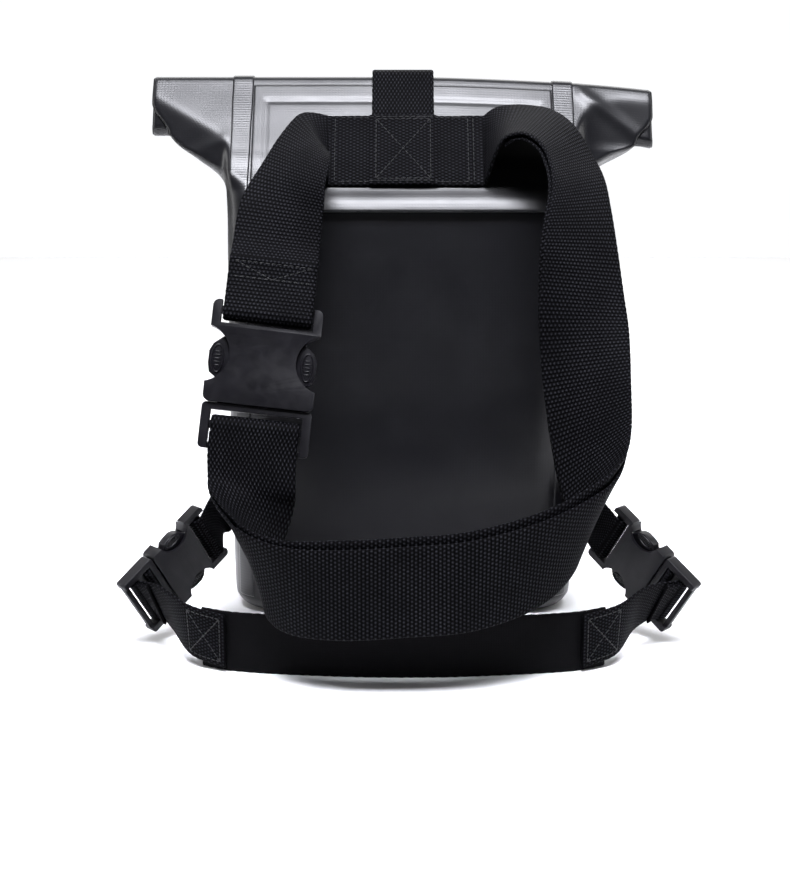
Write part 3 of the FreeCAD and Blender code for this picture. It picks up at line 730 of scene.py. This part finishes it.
def on_strap(line, across, at, off):
    """Points and directions on a strap: across it, along it and off its face."""
    def read(key):
        return np.stack([np.interp(at, line["at"], column) for column in line[key].T], -1)
    point = read("mid") + read("across") * across[..., None] + read("face") * off[..., None]
    return point, unit(read("face"))


def pair(a, b):
    """One station from its two edge points."""
    return tuple(a) + tuple(b)


def buckle_pair(name, y, z, flip=1):
    """A station beside a buckle, at y along it and z off its middle."""
    half = buckle_frame(name)[4][0] / 2
    return pair(in_buckle(name, -flip * half, y, z), in_buckle(name, flip * half, y, z))


def bar_turn(name, where, start, finish, thick, flip=1, steps=8):
    """Stations of webbing round a buckle's bar: a circle in the plane of along and out."""
    size = buckle_frame(name)[4]
    y0 = size[3] - BAR_BACK if where == "socket" else -size[4] * MID_BAR
    radius = BAR / 2 * 1.4 + thick / 2 + 0.35
    turns = np.radians(np.linspace(start, finish, steps + 1))
    return [buckle_pair(name, y0 + radius * math.cos(t), radius * math.sin(t), flip) for t in turns]


def band_pair(x):
    """A station where the belt meets the sewn band."""
    off = SEAM_OFF + WEB_THICK / 2
    return pair(on_slope(x, BAND_HIGH, off), on_slope(x, BAND_LOW, off))


def shifted(stations, lift):
    """Stations moved off their own surface by the lift, away from the face direction."""
    rows = np.asarray(stations, float)
    mid = (rows[:, :3] + rows[:, 3:]) / 2
    ahead = np.concatenate([mid[1:2] - mid[:1], mid[2:] - mid[:-2], mid[-1:] - mid[-2:-1]])
    normal = unit(np.cross(ahead, rows[:, :3] - rows[:, 3:])) * lift
    return [tuple(r) for r in rows - np.concatenate([normal, normal], 1)]


def band_line():
    """The sewn band across the slope, lifted a little where it crosses the closure strap."""
    x = np.linspace(BAND_LEFT - 0.2, BAND_RIGHT + 0.2, 60)
    off = SEAM_OFF + WEB_THICK / 2 + 1.1 * ease((17.5 - np.abs(x)) / 3.5) + 0.15 * np.sin(x * 0.21)
    mid = on_slope(x, (BAND_LOW + BAND_HIGH) / 2, off)
    across = np.broadcast_to(UP, mid.shape)
    face = unit(np.cross(np.gradient(mid, axis=0), across))
    return {"mid": mid, "across": across, "face": face, "at": run_length(mid), "width": WEB_BELT}


def belt_lines():
    """Every line of the waist belt, by the piece's name."""
    left = [band_pair(BAND_LEFT)] + LEFT_CURL + [buckle_pair("belt", 62, -1.2)]
    left += bar_turn("belt", "socket", 290, 70, WEB_THICK)
    left += [buckle_pair("belt", 58, 1.7), buckle_pair("belt", 66.5, 1.7)]
    down = [buckle_pair("belt", -22, 3.2)] + LEFT_TURN + FRONT_LOOP[:1]
    back = [buckle_pair("belt", -22, -3.2)] + LEFT_TURN + FRONT_LOOP[:1]
    inner, outer = shifted(down, PLY_GAP / 2)[:-1], shifted(back, -PLY_GAP / 2)[:-1]
    bend = bar_turn("belt", "plug", 115, -115, WEB_THICK)
    turn = inner[:0:-1] + [down[0]] + bend + [back[0]] + outer[1:]
    joined = LEFT_TURN[-2:] + FRONT_LOOP + RIGHT_CURL
    main = shifted(joined, PLY_GAP / 2)[1:] + [band_pair(BAND_RIGHT)]
    tail = shifted(joined, -PLY_GAP / 2)[1:-1]
    main = strap_line(main, WEB_BELT)
    share = main["at"] / main["at"][-1]
    raised = PROUD_OF_TAIL * ease(share / 0.12) * ease((0.62 - share) / 0.2)
    main["mid"] = main["mid"] + main["across"] * raised[:, None]
    return {
        "left": strap_line(left, WEB_BELT), "turn": strap_line(turn, WEB_BELT),
        "main": main, "tail": strap_line(tail, WEB_BELT),
    }


def make_belt(materials):
    """Waist belt: band, left half, adjusting turn, front loop and its loose tail."""
    lines = belt_lines()
    pieces = {
        "belt_band": webbing("belt_band_web", band_line(), WEB_THICK, materials["band_weave"]),
        "belt_strap_left": webbing("belt_left_web", lines["left"], WEB_THICK, materials["belt_weave"]),
        "belt_strap_main": webbing("belt_main_web", lines["main"], WEB_THICK, materials["belt_weave"]),
        "belt_tail": webbing("belt_tail_web", lines["tail"], WEB_THICK, materials["belt_weave"]),
    }
    turn = webbing("belt_turn_web", lines["turn"], WEB_THICK, materials["dotted_weave"], body=None)
    finish = in_buckle("belt", 0.0, -24.0, 0.0) * MM
    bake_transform(turn)
    pieces["belt_turn_left"] = turn
    for node, piece in pieces.items():
        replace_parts(piece, node)


def closure_lines():
    """Lines of the closure strap, its adjusting end and the sewn tab on the front."""
    middle = SEAM_OFF + LEG_THICK / 2
    reach = ROLL_SINK + middle + 0.25
    turn = np.radians(np.linspace(90, -90, 9))
    over = on_slope(0, ROLL_MID + ROLL_HALF + 1 + reach * np.cos(turn), reach * np.sin(turn) - ROLL_SINK)
    path = [on_slope(0, up, middle) for up in (30.0, 42.0, 54.0, 64.0)] + list(over)
    path += [np.array(p) for p in ((0, 20.0, 231.0), (0, 31.0, 212.0), (0, 40.5, 192.0), (0, 44.0, 172.0))]
    edge = np.array((WEB_CLOSURE / 2, 0.0, 0.0))
    low = np.array((0.0, 44.6, 165.0))
    path.append(low + (0, 0, 0.6))
    run = [pair(low - edge, low + edge), buckle_pair("closure", -22, -2.6)]
    run += bar_turn("closure", "plug", -115, 100, LEG_THICK) + [buckle_pair("closure", -27, 4.0)]
    face = FRONT + 2.0 + LEG_THICK / 2 + 0.2
    sewn = [np.array((0.0, face, z)) for z in (62.0, 72.0, 82.0)]
    gap = np.array((0.0, PLY_GAP - 0.7, 0.0))
    tab = [pair(p - edge, p + edge) for p in sewn] + bar_turn("closure", "socket", 300, 60, LEG_THICK)
    tab += [pair(p - edge + gap, p + edge + gap) for p in sewn[::-1]]
    return {
        "strap": strap_line([pair(p - edge, p + edge) for p in path], WEB_CLOSURE, 1.2),
        "run": strap_line(run, WEB_CLOSURE, 1.2), "tab": strap_line(tab, WEB_CLOSURE, 1.2),
    }


def make_closure(materials):
    """Closure strap over the roll, its end on the plug and the tab that holds the socket."""
    lines = closure_lines()
    strap = webbing("closure_web", lines["strap"], LEG_THICK, materials["dotted_weave"])
    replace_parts(strap, "closure_strap")
    tab = webbing("closure_tab_web", lines["tab"], LEG_THICK, materials["dotted_weave"])
    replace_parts(tab, "closure_tab")
    run = webbing("closure_run_web", lines["run"], LEG_THICK, materials["dotted_weave"], body=None)
    finish = in_buckle("closure", 0.0, -24.0, 0.0) * MM
    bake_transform(run)
    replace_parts(run, "closure_run")


def mirrored(rows, side):
    """Edge pairs of the leg strap on the left (-1) or the right (1)."""
    return [(side * a, b, c, side * d, e, f) for a, b, c, d, e, f in rows]


def leg_lines(side, name):
    """Lines of one leg tab and one leg webbing end."""
    buckle, flip = "leg_" + name, -side
    tab = mirrored(LEG_TAB, side) + bar_turn(buckle, "socket", 70, 290, LEG_THICK, flip)
    end = mirrored(LEG_END, side)[::-1] + bar_turn(buckle, "plug", 125, 415, LEG_THICK, flip)
    return strap_line(tab, WEB_LEG, 1.0), strap_line(end, WEB_LEG, 1.0)


def leg_fold(end, buckle):
    """Second layer of leg webbing on the plug's bar: the last of the end's line, moved outwards."""
    near = end["at"] > end["at"][-1] - FOLD_LENGTH
    fold = {key: end[key][near] for key in ("mid", "across", "face", "at")}
    fold["at"] = fold["at"] - fold["at"][0]
    bar = in_buckle(buckle, 0.0, -buckle_frame(buckle)[4][4] * MID_BAR, 0.0)
    sense = np.sign(np.sum((fold["mid"] - bar) * fold["face"]))
    fold["mid"] = fold["mid"] + fold["face"] * FOLD_OFF * sense
    fold["width"] = WEB_LEG - 0.6
    return fold


def make_leg_strap(materials):
    """Leg strap: two tabs, two webbing ends on their plugs, and the elastic between them."""
    for side, name in ((-1, "left"), (1, "right")):
        tab, end = leg_lines(side, name)
        piece = webbing("leg_tab_web_" + name, tab, LEG_THICK, materials["leg_weave"])
        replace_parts(piece, "leg_tab_" + name)
        piece = webbing("leg_end_web_" + name, end, LEG_THICK, materials["leg_weave"], body=None)
        finish = in_buckle("leg_" + name, 0.0, -22.0, 0.0) * MM
        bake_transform(piece)
        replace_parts(piece, "leg_webbing_" + name)
        fold = leg_fold(end, "leg_" + name)
        webbing("leg_fold_web_" + name, fold, LEG_THICK, materials["leg_weave"], f"leg_{name}_plug")
    xy = [(-x, y) for x, y in ELASTIC_HALF] + ELASTIC_HALF[-2::-1]
    line = strap_line([(x, y, ELASTIC, x, y, 0.0) for x, y in xy], ELASTIC, 2.0)
    piece = webbing("leg_elastic_band", line, LEG_THICK, materials["knit_elastic"], slot="elastic")
    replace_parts(piece, "leg_elastic")


# ---- buckles -----------------------------------------------------------------------------------
# The grip is drawn for the belt's buckle, by its width and its socket's body, and scaled to others.
GRIP_WIDTH, GRIP_BODY = 49.5, 35.7
GRIP_X, GRIP_Y = 20.2, 19.4
GRIP_HALF_X, GRIP_HALF_Y = 2.6, 6.2
RIM = 0.5                   # half the thickness of the oval rim
RIB, RIB_STEP = 0.3, 1.55


def softened(node, name, radius):
    """A copy of a moulded part with its triangles joined and its edges rounded."""
    work = bmesh.new()
    work.from_mesh(NODES[node].data)
    bmesh.ops.remove_doubles(work, verts=work.verts, dist=1e-6)
    bmesh.ops.dissolve_limit(work, angle_limit=math.radians(1.5), verts=work.verts, edges=work.edges)
    mesh = bpy.data.meshes.new(name)
    work.to_mesh(mesh)
    work.free()
    obj = smooth_object(name, mesh)
    bevel = obj.modifiers.new("Rounded edges", "BEVEL")
    bevel.width = radius * MM
    bevel.segments = 3
    bevel.limit_method = "ANGLE"
    bevel.angle_limit = math.radians(38)
    bevel.harden_normals = True
    bevel.use_clamp_overlap = True
    return obj


def thumb_grip(buckle, sign, name, body, material):
    """Oval rim with short ribs on a latch's ear: a thin round bar along an ellipse and along lines.

    A point of the rim is the ellipse's point at one angle plus the bar's circle at another.
    """
    size = buckle_frame(buckle)[4]
    kx, ky = size[1] / GRIP_WIDTH, (size[3] - BAR_BACK - BAR / 2 - 4) / GRIP_BODY
    top = size[2] / 2 - 1.6 - 0.5
    around = np.linspace(0, TAU, 40, endpoint=False)
    bar = np.linspace(0, TAU, 6, endpoint=False)
    rx, ry = GRIP_HALF_X * kx, GRIP_HALF_Y * ky
    points, faces = [], []
    for face in (-1, 1):
        ring_x = (rx + RIM * np.cos(bar)[None, :]) * np.cos(around)[:, None]
        ring_y = (ry + RIM * np.cos(bar)[None, :]) * np.sin(around)[:, None]
        ring_z = np.broadcast_to(RIM * np.sin(bar)[None, :], ring_x.shape)
        rim = in_buckle(buckle, sign * GRIP_X * kx + ring_x, GRIP_Y * ky + ring_y, face * top + ring_z)
        index = np.arange(rim.size // 3).reshape(40, 6) + sum(len(p) for p in points)
        ahead, beside = np.roll(index, -1, 0), np.roll(index, -1, 1)
        faces += np.stack([index, ahead, np.roll(ahead, -1, 1), beside], -1).reshape(-1, 4).tolist()
        points.append(rim.reshape(-1, 3))
        for k in range(-2, 3):
            reach = rx * math.sqrt(1 - (k * RIB_STEP * ky / ry) ** 2) * 0.8
            line = np.linspace(-reach, reach, 4)[:, None]
            taper = np.array([0.4, 1, 1, 0.4])[:, None]
            rib = in_buckle(buckle, sign * GRIP_X * kx + line + 0 * bar,
                            (GRIP_Y + k * RIB_STEP) * ky + RIB * taper * np.cos(bar),
                            face * top + RIB * taper * np.sin(bar))
            index = np.arange(24).reshape(4, 6) + sum(len(p) for p in points)
            side = np.roll(index, -1, 1)
            faces += np.stack([index[:-1], index[1:], side[1:], side[:-1]], -1).reshape(-1, 4).tolist()
            faces += [index[0].tolist(), index[-1, ::-1].tolist()]
            points.append(rib.reshape(-1, 3))
    return dress(put_mesh(name, np.concatenate(points), faces), material, body)


def make_buckles(materials):
    """Four side-release buckles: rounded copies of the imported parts, and grips on the latches."""
    for name in BUCKLES:
        parts = {
            "buckle_socket": ("root", 0.6, "moulded_body"),
            "buckle_plug": (name + "_plug", 0.5, "moulded_body"),
            "latch_left": (name + "_latch_left", 0.35, "moulded_latch"),
            "latch_right": (name + "_latch_right", 0.35, "moulded_latch"),
        }
        for part, (body, radius, finish) in parts.items():
            node = f"{name}_{part}"
            piece = softened(node, node + "_shape", radius)
            dress(piece, materials[finish], body)
            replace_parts(piece, node)
        for side, sign in (("left", -1), ("right", 1)):
            thumb_grip(name, sign, f"{name}_grip_{side}", f"{name}_latch_{side}", materials["moulded_latch"])


# ---- stitching ---------------------------------------------------------------------------------
def stitch_run(line, corners, pitch=3.0, face=1, thick=WEB_THICK):
    """Middles, directions and normals of stitches along straight runs on a strap."""
    middles, ways, normals = [], [], []
    for (a0, l0), (a1, l1) in corners:
        count = max(int(math.hypot(a1 - a0, l1 - l0) / pitch), 1)
        t = (np.arange(count) + 0.5) / count
        off = np.full(count, face * thick / 2)
        here, normal = on_strap(line, a0 + (a1 - a0) * t, l0 + (l1 - l0) * t, off)
        t = t + 0.02
        there, _ = on_strap(line, a0 + (a1 - a0) * t, l0 + (l1 - l0) * t, off)
        middles.append(here)
        ways.append(unit(there - here))
        normals.append(normal * face)
    return np.concatenate(middles), np.concatenate(ways), np.concatenate(normals)


def thread_mesh(name, runs, length, radius, material, body="root"):
    """Stitches as small flattened capsules: a profile turned round each direction.

    The radius over t from -1 to 1 along a stitch is the square root of 1 - 0.82 t^2.
    """
    mid, way, normal = (np.concatenate([run[k] for run in runs]) for k in range(3))
    beside = unit(np.cross(way, normal))
    t = np.linspace(-1, 1, 5)
    reach = t * length / 2
    girth = np.sqrt(1 - 0.82 * t ** 2) * radius
    turn = np.linspace(0, TAU, 6, endpoint=False)
    ring = (mid[:, None, None] + way[:, None, None] * reach[None, :, None, None]
            + beside[:, None, None] * (girth[:, None] * np.cos(turn))[None, ..., None]
            + normal[:, None, None] * (girth[:, None] * np.sin(turn) * 0.75)[None, ..., None])
    count = len(mid)
    index = np.arange(count * 30).reshape(count, 5, 6)
    side = np.roll(index, -1, 2)
    quads = np.stack([index[:, :-1], side[:, :-1], side[:, 1:], index[:, 1:]], -1).reshape(-1, 4)
    caps = np.concatenate([index[:, 0, ::-1], index[:, -1]])
    return dress(put_mesh(name, ring, quads.tolist() + caps.tolist()), material, body)


def box_cross(a0, a1, l0, l1):
    """Straight runs of a sewn box with its two diagonals."""
    corners = [(a0, l0), (a1, l0), (a1, l1), (a0, l1)]
    sides = list(zip(corners, corners[1:] + corners[:1]))
    return sides + [(corners[0], corners[2]), (corners[1], corners[3])]


def make_stitching(material):
    """Sewing on the band, the strap ends and the leg webbing."""
    band = band_line()
    length = band["at"][-1]
    runs = [stitch_run(band, [((-18, x), (18, x))], 2.6) for x in (3.5, length - 5.5, length - 8.0)]
    centre = length * 36 / 75
    runs.append(stitch_run(band, box_cross(-17, 17, centre - 13, centre + 13), 2.8))
    runs.append(stitch_run(band, [((-18.2, 6), (-18.2, length - 8)), ((18.2, 6), (18.2, length - 8))], 2.8))
    thread_mesh("band_stitching", runs, 2.3, 0.24, material)

    lines = belt_lines()
    left = lines["left"]
    end = left["at"][-1]
    outer, inner = end - 2.2, end - 9.5
    seam = [((-17.5, outer), (17.5, outer)), ((-17.5, inner), (17.5, inner)),
            ((-17.5, outer), (0, inner)), ((0, inner), (17.5, outer))]
    runs = [stitch_run(left, seam, 2.6, face) for face in (-1, 1)]
    tail = lines["tail"]
    end = tail["at"][-1]
    runs += [stitch_run(tail, [((-17.5, end - x), (17.5, end - x))], 2.6, face)
             for x in (3.0, 11.0) for face in (-1, 1)]
    thread_mesh("belt_stitching", runs, 2.1, 0.33, material)

    tab = closure_lines()["tab"]
    end = tab["at"][-1]
    runs = [stitch_run(tab, box_cross(-12, 12, end - 18, end - 3), 2.6, face, thick=LEG_THICK)
            for face in (-1, 1)]
    thread_mesh("closure_stitching", runs, 2.1, 0.3, material)

    runs = []
    for side, name in ((-1, "left"), (1, "right")):
        tab, end = leg_lines(side, name)
        for line, reach, pitch in ((end, 19, 2.2), (tab, 16, 2.4)):
            runs += [stitch_run(line, box_cross(-10, 10, 2.5, reach), pitch, face, thick=LEG_THICK)
                     for face in (-1, 1)]
    thread_mesh("leg_stitching", runs, 1.8, 0.28, material)


# ---- stage -------------------------------------------------------------------------------------
# name, place, target, width, height, power, cone in degrees and tint of each soft light
WHITE = (1.0, 1.0, 1.0)
LIGHTS = [
    ("overhead_soft", (0.0, -0.70, 1.40), (0.0, -0.02, 0.24), 1.1, 0.45, 7.8, 50.0, (0.95, 0.96, 1.03)),
    ("floor_soft", (0.0, 1.35, 1.25), (0.0, 1.30, 0.0), 2.6, 1.4, 40.0, 180.0, WHITE),
    ("rim_left", (-1.3, 0.25, 0.5), (0.0, 0.0, 0.12), 0.35, 0.9, 5.0, 180.0, WHITE),
    ("rim_right", (1.3, 0.25, 0.5), (0.0, 0.0, 0.12), 0.35, 0.9, 5.0, 180.0, WHITE),
]
SKY_LIGHT = 0.07            # strength of the sky as a light
SKY_SEEN = 0.97             # what is added to it where the camera sees it
CAMERA_PLACE = (-0.0039, -0.7638, 0.2456)
CAMERA_TILT = math.radians(78.0)


def stage_floor():
    """Pale floor: a flat grid that starts a little in front of the bag and runs on behind it."""
    x, y = np.linspace(-1500, 1500, 4), np.linspace(-420, 1900, 4)
    grid = np.stack(np.broadcast_arrays(x[None, :], y[:, None], -0.05), -1)
    index = np.arange(grid.size // 3).reshape(4, 4)
    quads = np.stack([index[:-1, :-1], index[:-1, 1:], index[1:, 1:], index[1:, :-1]], -1)
    mesh = bpy.data.meshes.new("studio_floor")
    mesh.from_pydata((grid.reshape(-1, 3) * MM).tolist(), [], quads.reshape(-1, 4).tolist())
    floor = smooth_object("studio_floor", mesh)
    material, tree, shader = new_material("studio_paper")
    two_tone(tree, shader, cloud(tree, 2.0), (0.86, 0.86, 0.87), (0.88, 0.88, 0.885))
    shader.inputs["Roughness"].default_value = 0.9
    shader.inputs["Specular IOR Level"].default_value = 0.1
    mesh.materials.append(material)


def soft_light(name, place, target, width, height, power, spread, tint):
    """A rectangular soft light that looks at a target and lights a cone of that many degrees."""
    data = bpy.data.lights.new(name, "AREA")
    data.shape = "RECTANGLE"
    data.size, data.size_y, data.energy = width, height, power
    data.spread = math.radians(spread)
    data.color = tint
    light = link_new(name, data)
    way = np.array(place) - np.array(target)
    light.location = place
    flat = math.hypot(way[0], way[1])
    light.rotation_euler = (math.atan2(flat, way[2]), 0, math.atan2(way[1], way[0]) + math.pi / 2)


def make_stage():
    """Floor, even sky, a strong soft light above and the camera a little above the bag."""
    scene = bpy.context.scene
    setup = scene.dry_bag_sizes
    stage_floor()
    world = bpy.data.worlds.new("studio")
    world.use_nodes = True
    tree = world.node_tree
    tree.nodes["Background"].inputs["Color"].default_value = (0.97, 0.98, 1.0, 1)
    seen = tree.nodes.new("ShaderNodeLightPath").outputs["Is Camera Ray"]
    strength = calc(tree, "ADD", calc(tree, "MULTIPLY", seen, SKY_SEEN), SKY_LIGHT)
    tree.links.new(strength, tree.nodes["Background"].inputs["Strength"])
    scene.world = world
    for light in LIGHTS:
        soft_light(*light)
    data = bpy.data.cameras.new("camera")
    data.lens = setup.lens
    data.sensor_width = 36.0
    data.clip_start, data.clip_end = 0.01, 50.0
    camera = link_new("camera", data)
    camera.location = CAMERA_PLACE
    camera.rotation_euler = (CAMERA_TILT, 0.0, 0.0)
    scene.camera = camera
    scene.view_settings.view_transform = "Standard"
    scene.view_settings.look = "None"


# ---- settings, operators and panel -------------------------------------------------------------
class DryBagSizes(bpy.types.PropertyGroup):
    """Pattern sizes and the lens."""
    scrim_pitch: bpy.props.FloatProperty(
        name="Scrim pitch", description="Spacing of the yarns under the coating",
        default=1.4 * MM, min=0.2 * MM, unit="LENGTH", precision=4)
    weave_pitch: bpy.props.FloatProperty(
        name="Weave pitch", description="Spacing of the webbing's rows",
        default=1.7 * MM, min=0.2 * MM, unit="LENGTH", precision=4)
    grain_scale: bpy.props.FloatProperty(
        name="Grain", description="Fineness of the grain on moulded plastic", default=2400.0, min=10.0)
    lens: bpy.props.FloatProperty(
        name="Lens", description="Focal length of the camera in millimetres", default=62.56, min=10.0)


def colour_property(name, description, value):
    """A colour setting."""
    return bpy.props.FloatVectorProperty(
        name=name, description=description, default=value, subtype="COLOR", size=3, min=0.0, max=1.0)


class DryBagColours(bpy.types.PropertyGroup):
    """Colours of the finishes."""
    fabric: colour_property("Fabric", "Coated fabric", (0.0042, 0.0042, 0.0056))
    fabric_dark: colour_property("Fabric, dark", "Coated fabric in its hollows", (0.0034, 0.0034, 0.0045))
    # The webbing's two colours: the crowns' colour is a painted highlight; the dark one is painted shade
    # between the yarns and between the thread's plies.
    webbing: colour_property("Webbing", "Crowns of the webbing's yarns", (0.026, 0.026, 0.031))
    webbing_painted_shade: colour_property("Webbing, dark", "Between the yarns", (0.0003, 0.0003, 0.0005))
    # The elastic's two colours: the cords' own colour, and painted shade in the grooves between them.
    elastic: colour_property("Elastic", "Cords of the elastic", (0.002, 0.002, 0.0025))
    elastic_painted_shade: colour_property("Elastic, dark", "Between the cords", (0.001, 0.001, 0.0013))
    plastic: colour_property("Plastic", "Buckles", (0.0032, 0.0030, 0.0042))
    # The thread's colour is that of its plies; the grooves between them take the webbing's painted shade
    # colour.
    thread: colour_property("Thread", "Sewing thread", (0.0045, 0.0045, 0.0055))


class DRYBAG_OT_shell(bpy.types.Operator):
    """Make the bag: base, walls, neck and rolled mouth"""
    bl_idname = "dry_bag.shell"
    bl_label = "Bag shell"

    def execute(self, context):
        materials = finishes()
        piece = make_shell("bag_shell", materials["tarpaulin"])
        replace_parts(piece, "back_panel", "front_panel", "side_gusset_left", "side_gusset_right",
                    "base_panel", "neck", "roll_top")
        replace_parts(make_stiffener("stiffener_strip", materials["moulded_strip"]), "roll_stiffener")
        return {"FINISHED"}


class DRYBAG_OT_welds(bpy.types.Operator):
    """Make the welded tapes and the patch on the wearer's side"""
    bl_idname = "dry_bag.welds"
    bl_label = "Tapes and patch"

    def execute(self, context):
        make_tapes(finishes())
        make_patch(finishes()["tarpaulin"])
        return {"FINISHED"}


class DRYBAG_OT_belt(bpy.types.Operator):
    """Make the waist belt's webbing"""
    bl_idname = "dry_bag.belt"
    bl_label = "Waist belt"

    def execute(self, context):
        make_belt(finishes())
        return {"FINISHED"}


class DRYBAG_OT_closure(bpy.types.Operator):
    """Make the closure strap over the roll and its tab"""
    bl_idname = "dry_bag.closure"
    bl_label = "Closure strap"

    def execute(self, context):
        make_closure(finishes())
        return {"FINISHED"}


class DRYBAG_OT_leg_strap(bpy.types.Operator):
    """Make the leg strap: tabs, webbing ends and elastic"""
    bl_idname = "dry_bag.leg_strap"
    bl_label = "Leg strap"

    def execute(self, context):
        make_leg_strap(finishes())
        return {"FINISHED"}


class DRYBAG_OT_buckles(bpy.types.Operator):
    """Make the four side-release buckles"""
    bl_idname = "dry_bag.buckles"
    bl_label = "Buckles"

    def execute(self, context):
        make_buckles(finishes())
        return {"FINISHED"}


class DRYBAG_OT_stitching(bpy.types.Operator):
    """Sew the band, the strap ends and the leg webbing"""
    bl_idname = "dry_bag.stitching"
    bl_label = "Stitching"

    def execute(self, context):
        make_stitching(finishes()["sewing_thread"])
        return {"FINISHED"}


class DRYBAG_OT_stage(bpy.types.Operator):
    """Set up the floor, the lights and the camera"""
    bl_idname = "dry_bag.stage"
    bl_label = "Stage"

    def execute(self, context):
        make_stage()
        return {"FINISHED"}


OPERATORS = (DRYBAG_OT_shell, DRYBAG_OT_welds, DRYBAG_OT_belt, DRYBAG_OT_closure,
             DRYBAG_OT_leg_strap, DRYBAG_OT_buckles, DRYBAG_OT_stitching, DRYBAG_OT_stage)


class DRYBAG_PT_panel(bpy.types.Panel):
    """The dry bag's settings and steps"""
    bl_idname = "DRYBAG_PT_panel"
    bl_label = "Dry Bag"
    bl_space_type = "VIEW_3D"
    bl_region_type = "UI"
    bl_category = "Dry Bag"

    def draw(self, context):
        for group in (context.scene.dry_bag_sizes, context.scene.dry_bag_colours):
            for key in group.__annotations__:
                self.layout.prop(group, key)
        for operator in OPERATORS:
            self.layout.operator(operator.bl_idname)


CLASSES = (DryBagSizes, DryBagColours, *OPERATORS, DRYBAG_PT_panel)


def register():
    """Add the classes and the scene's settings."""
    for cls in CLASSES:
        bpy.utils.register_class(cls)
    bpy.types.Scene.dry_bag_sizes = bpy.props.PointerProperty(type=DryBagSizes)
    bpy.types.Scene.dry_bag_colours = bpy.props.PointerProperty(type=DryBagColours)


def unregister():
    """Take the settings and the classes away again."""
    del bpy.types.Scene.dry_bag_colours
    del bpy.types.Scene.dry_bag_sizes
    for cls in reversed(CLASSES):
        bpy.utils.unregister_class(cls)


def main():
    """Make every piece in order."""
    register()
    bpy.ops.dry_bag.shell()
    bpy.ops.dry_bag.welds()
    bpy.ops.dry_bag.belt()
    bpy.ops.dry_bag.closure()
    bpy.ops.dry_bag.leg_strap()
    bpy.ops.dry_bag.buckles()
    bpy.ops.dry_bag.stitching()
    bpy.ops.dry_bag.stage()
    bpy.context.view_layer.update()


if __name__ == "__main__":
    main()
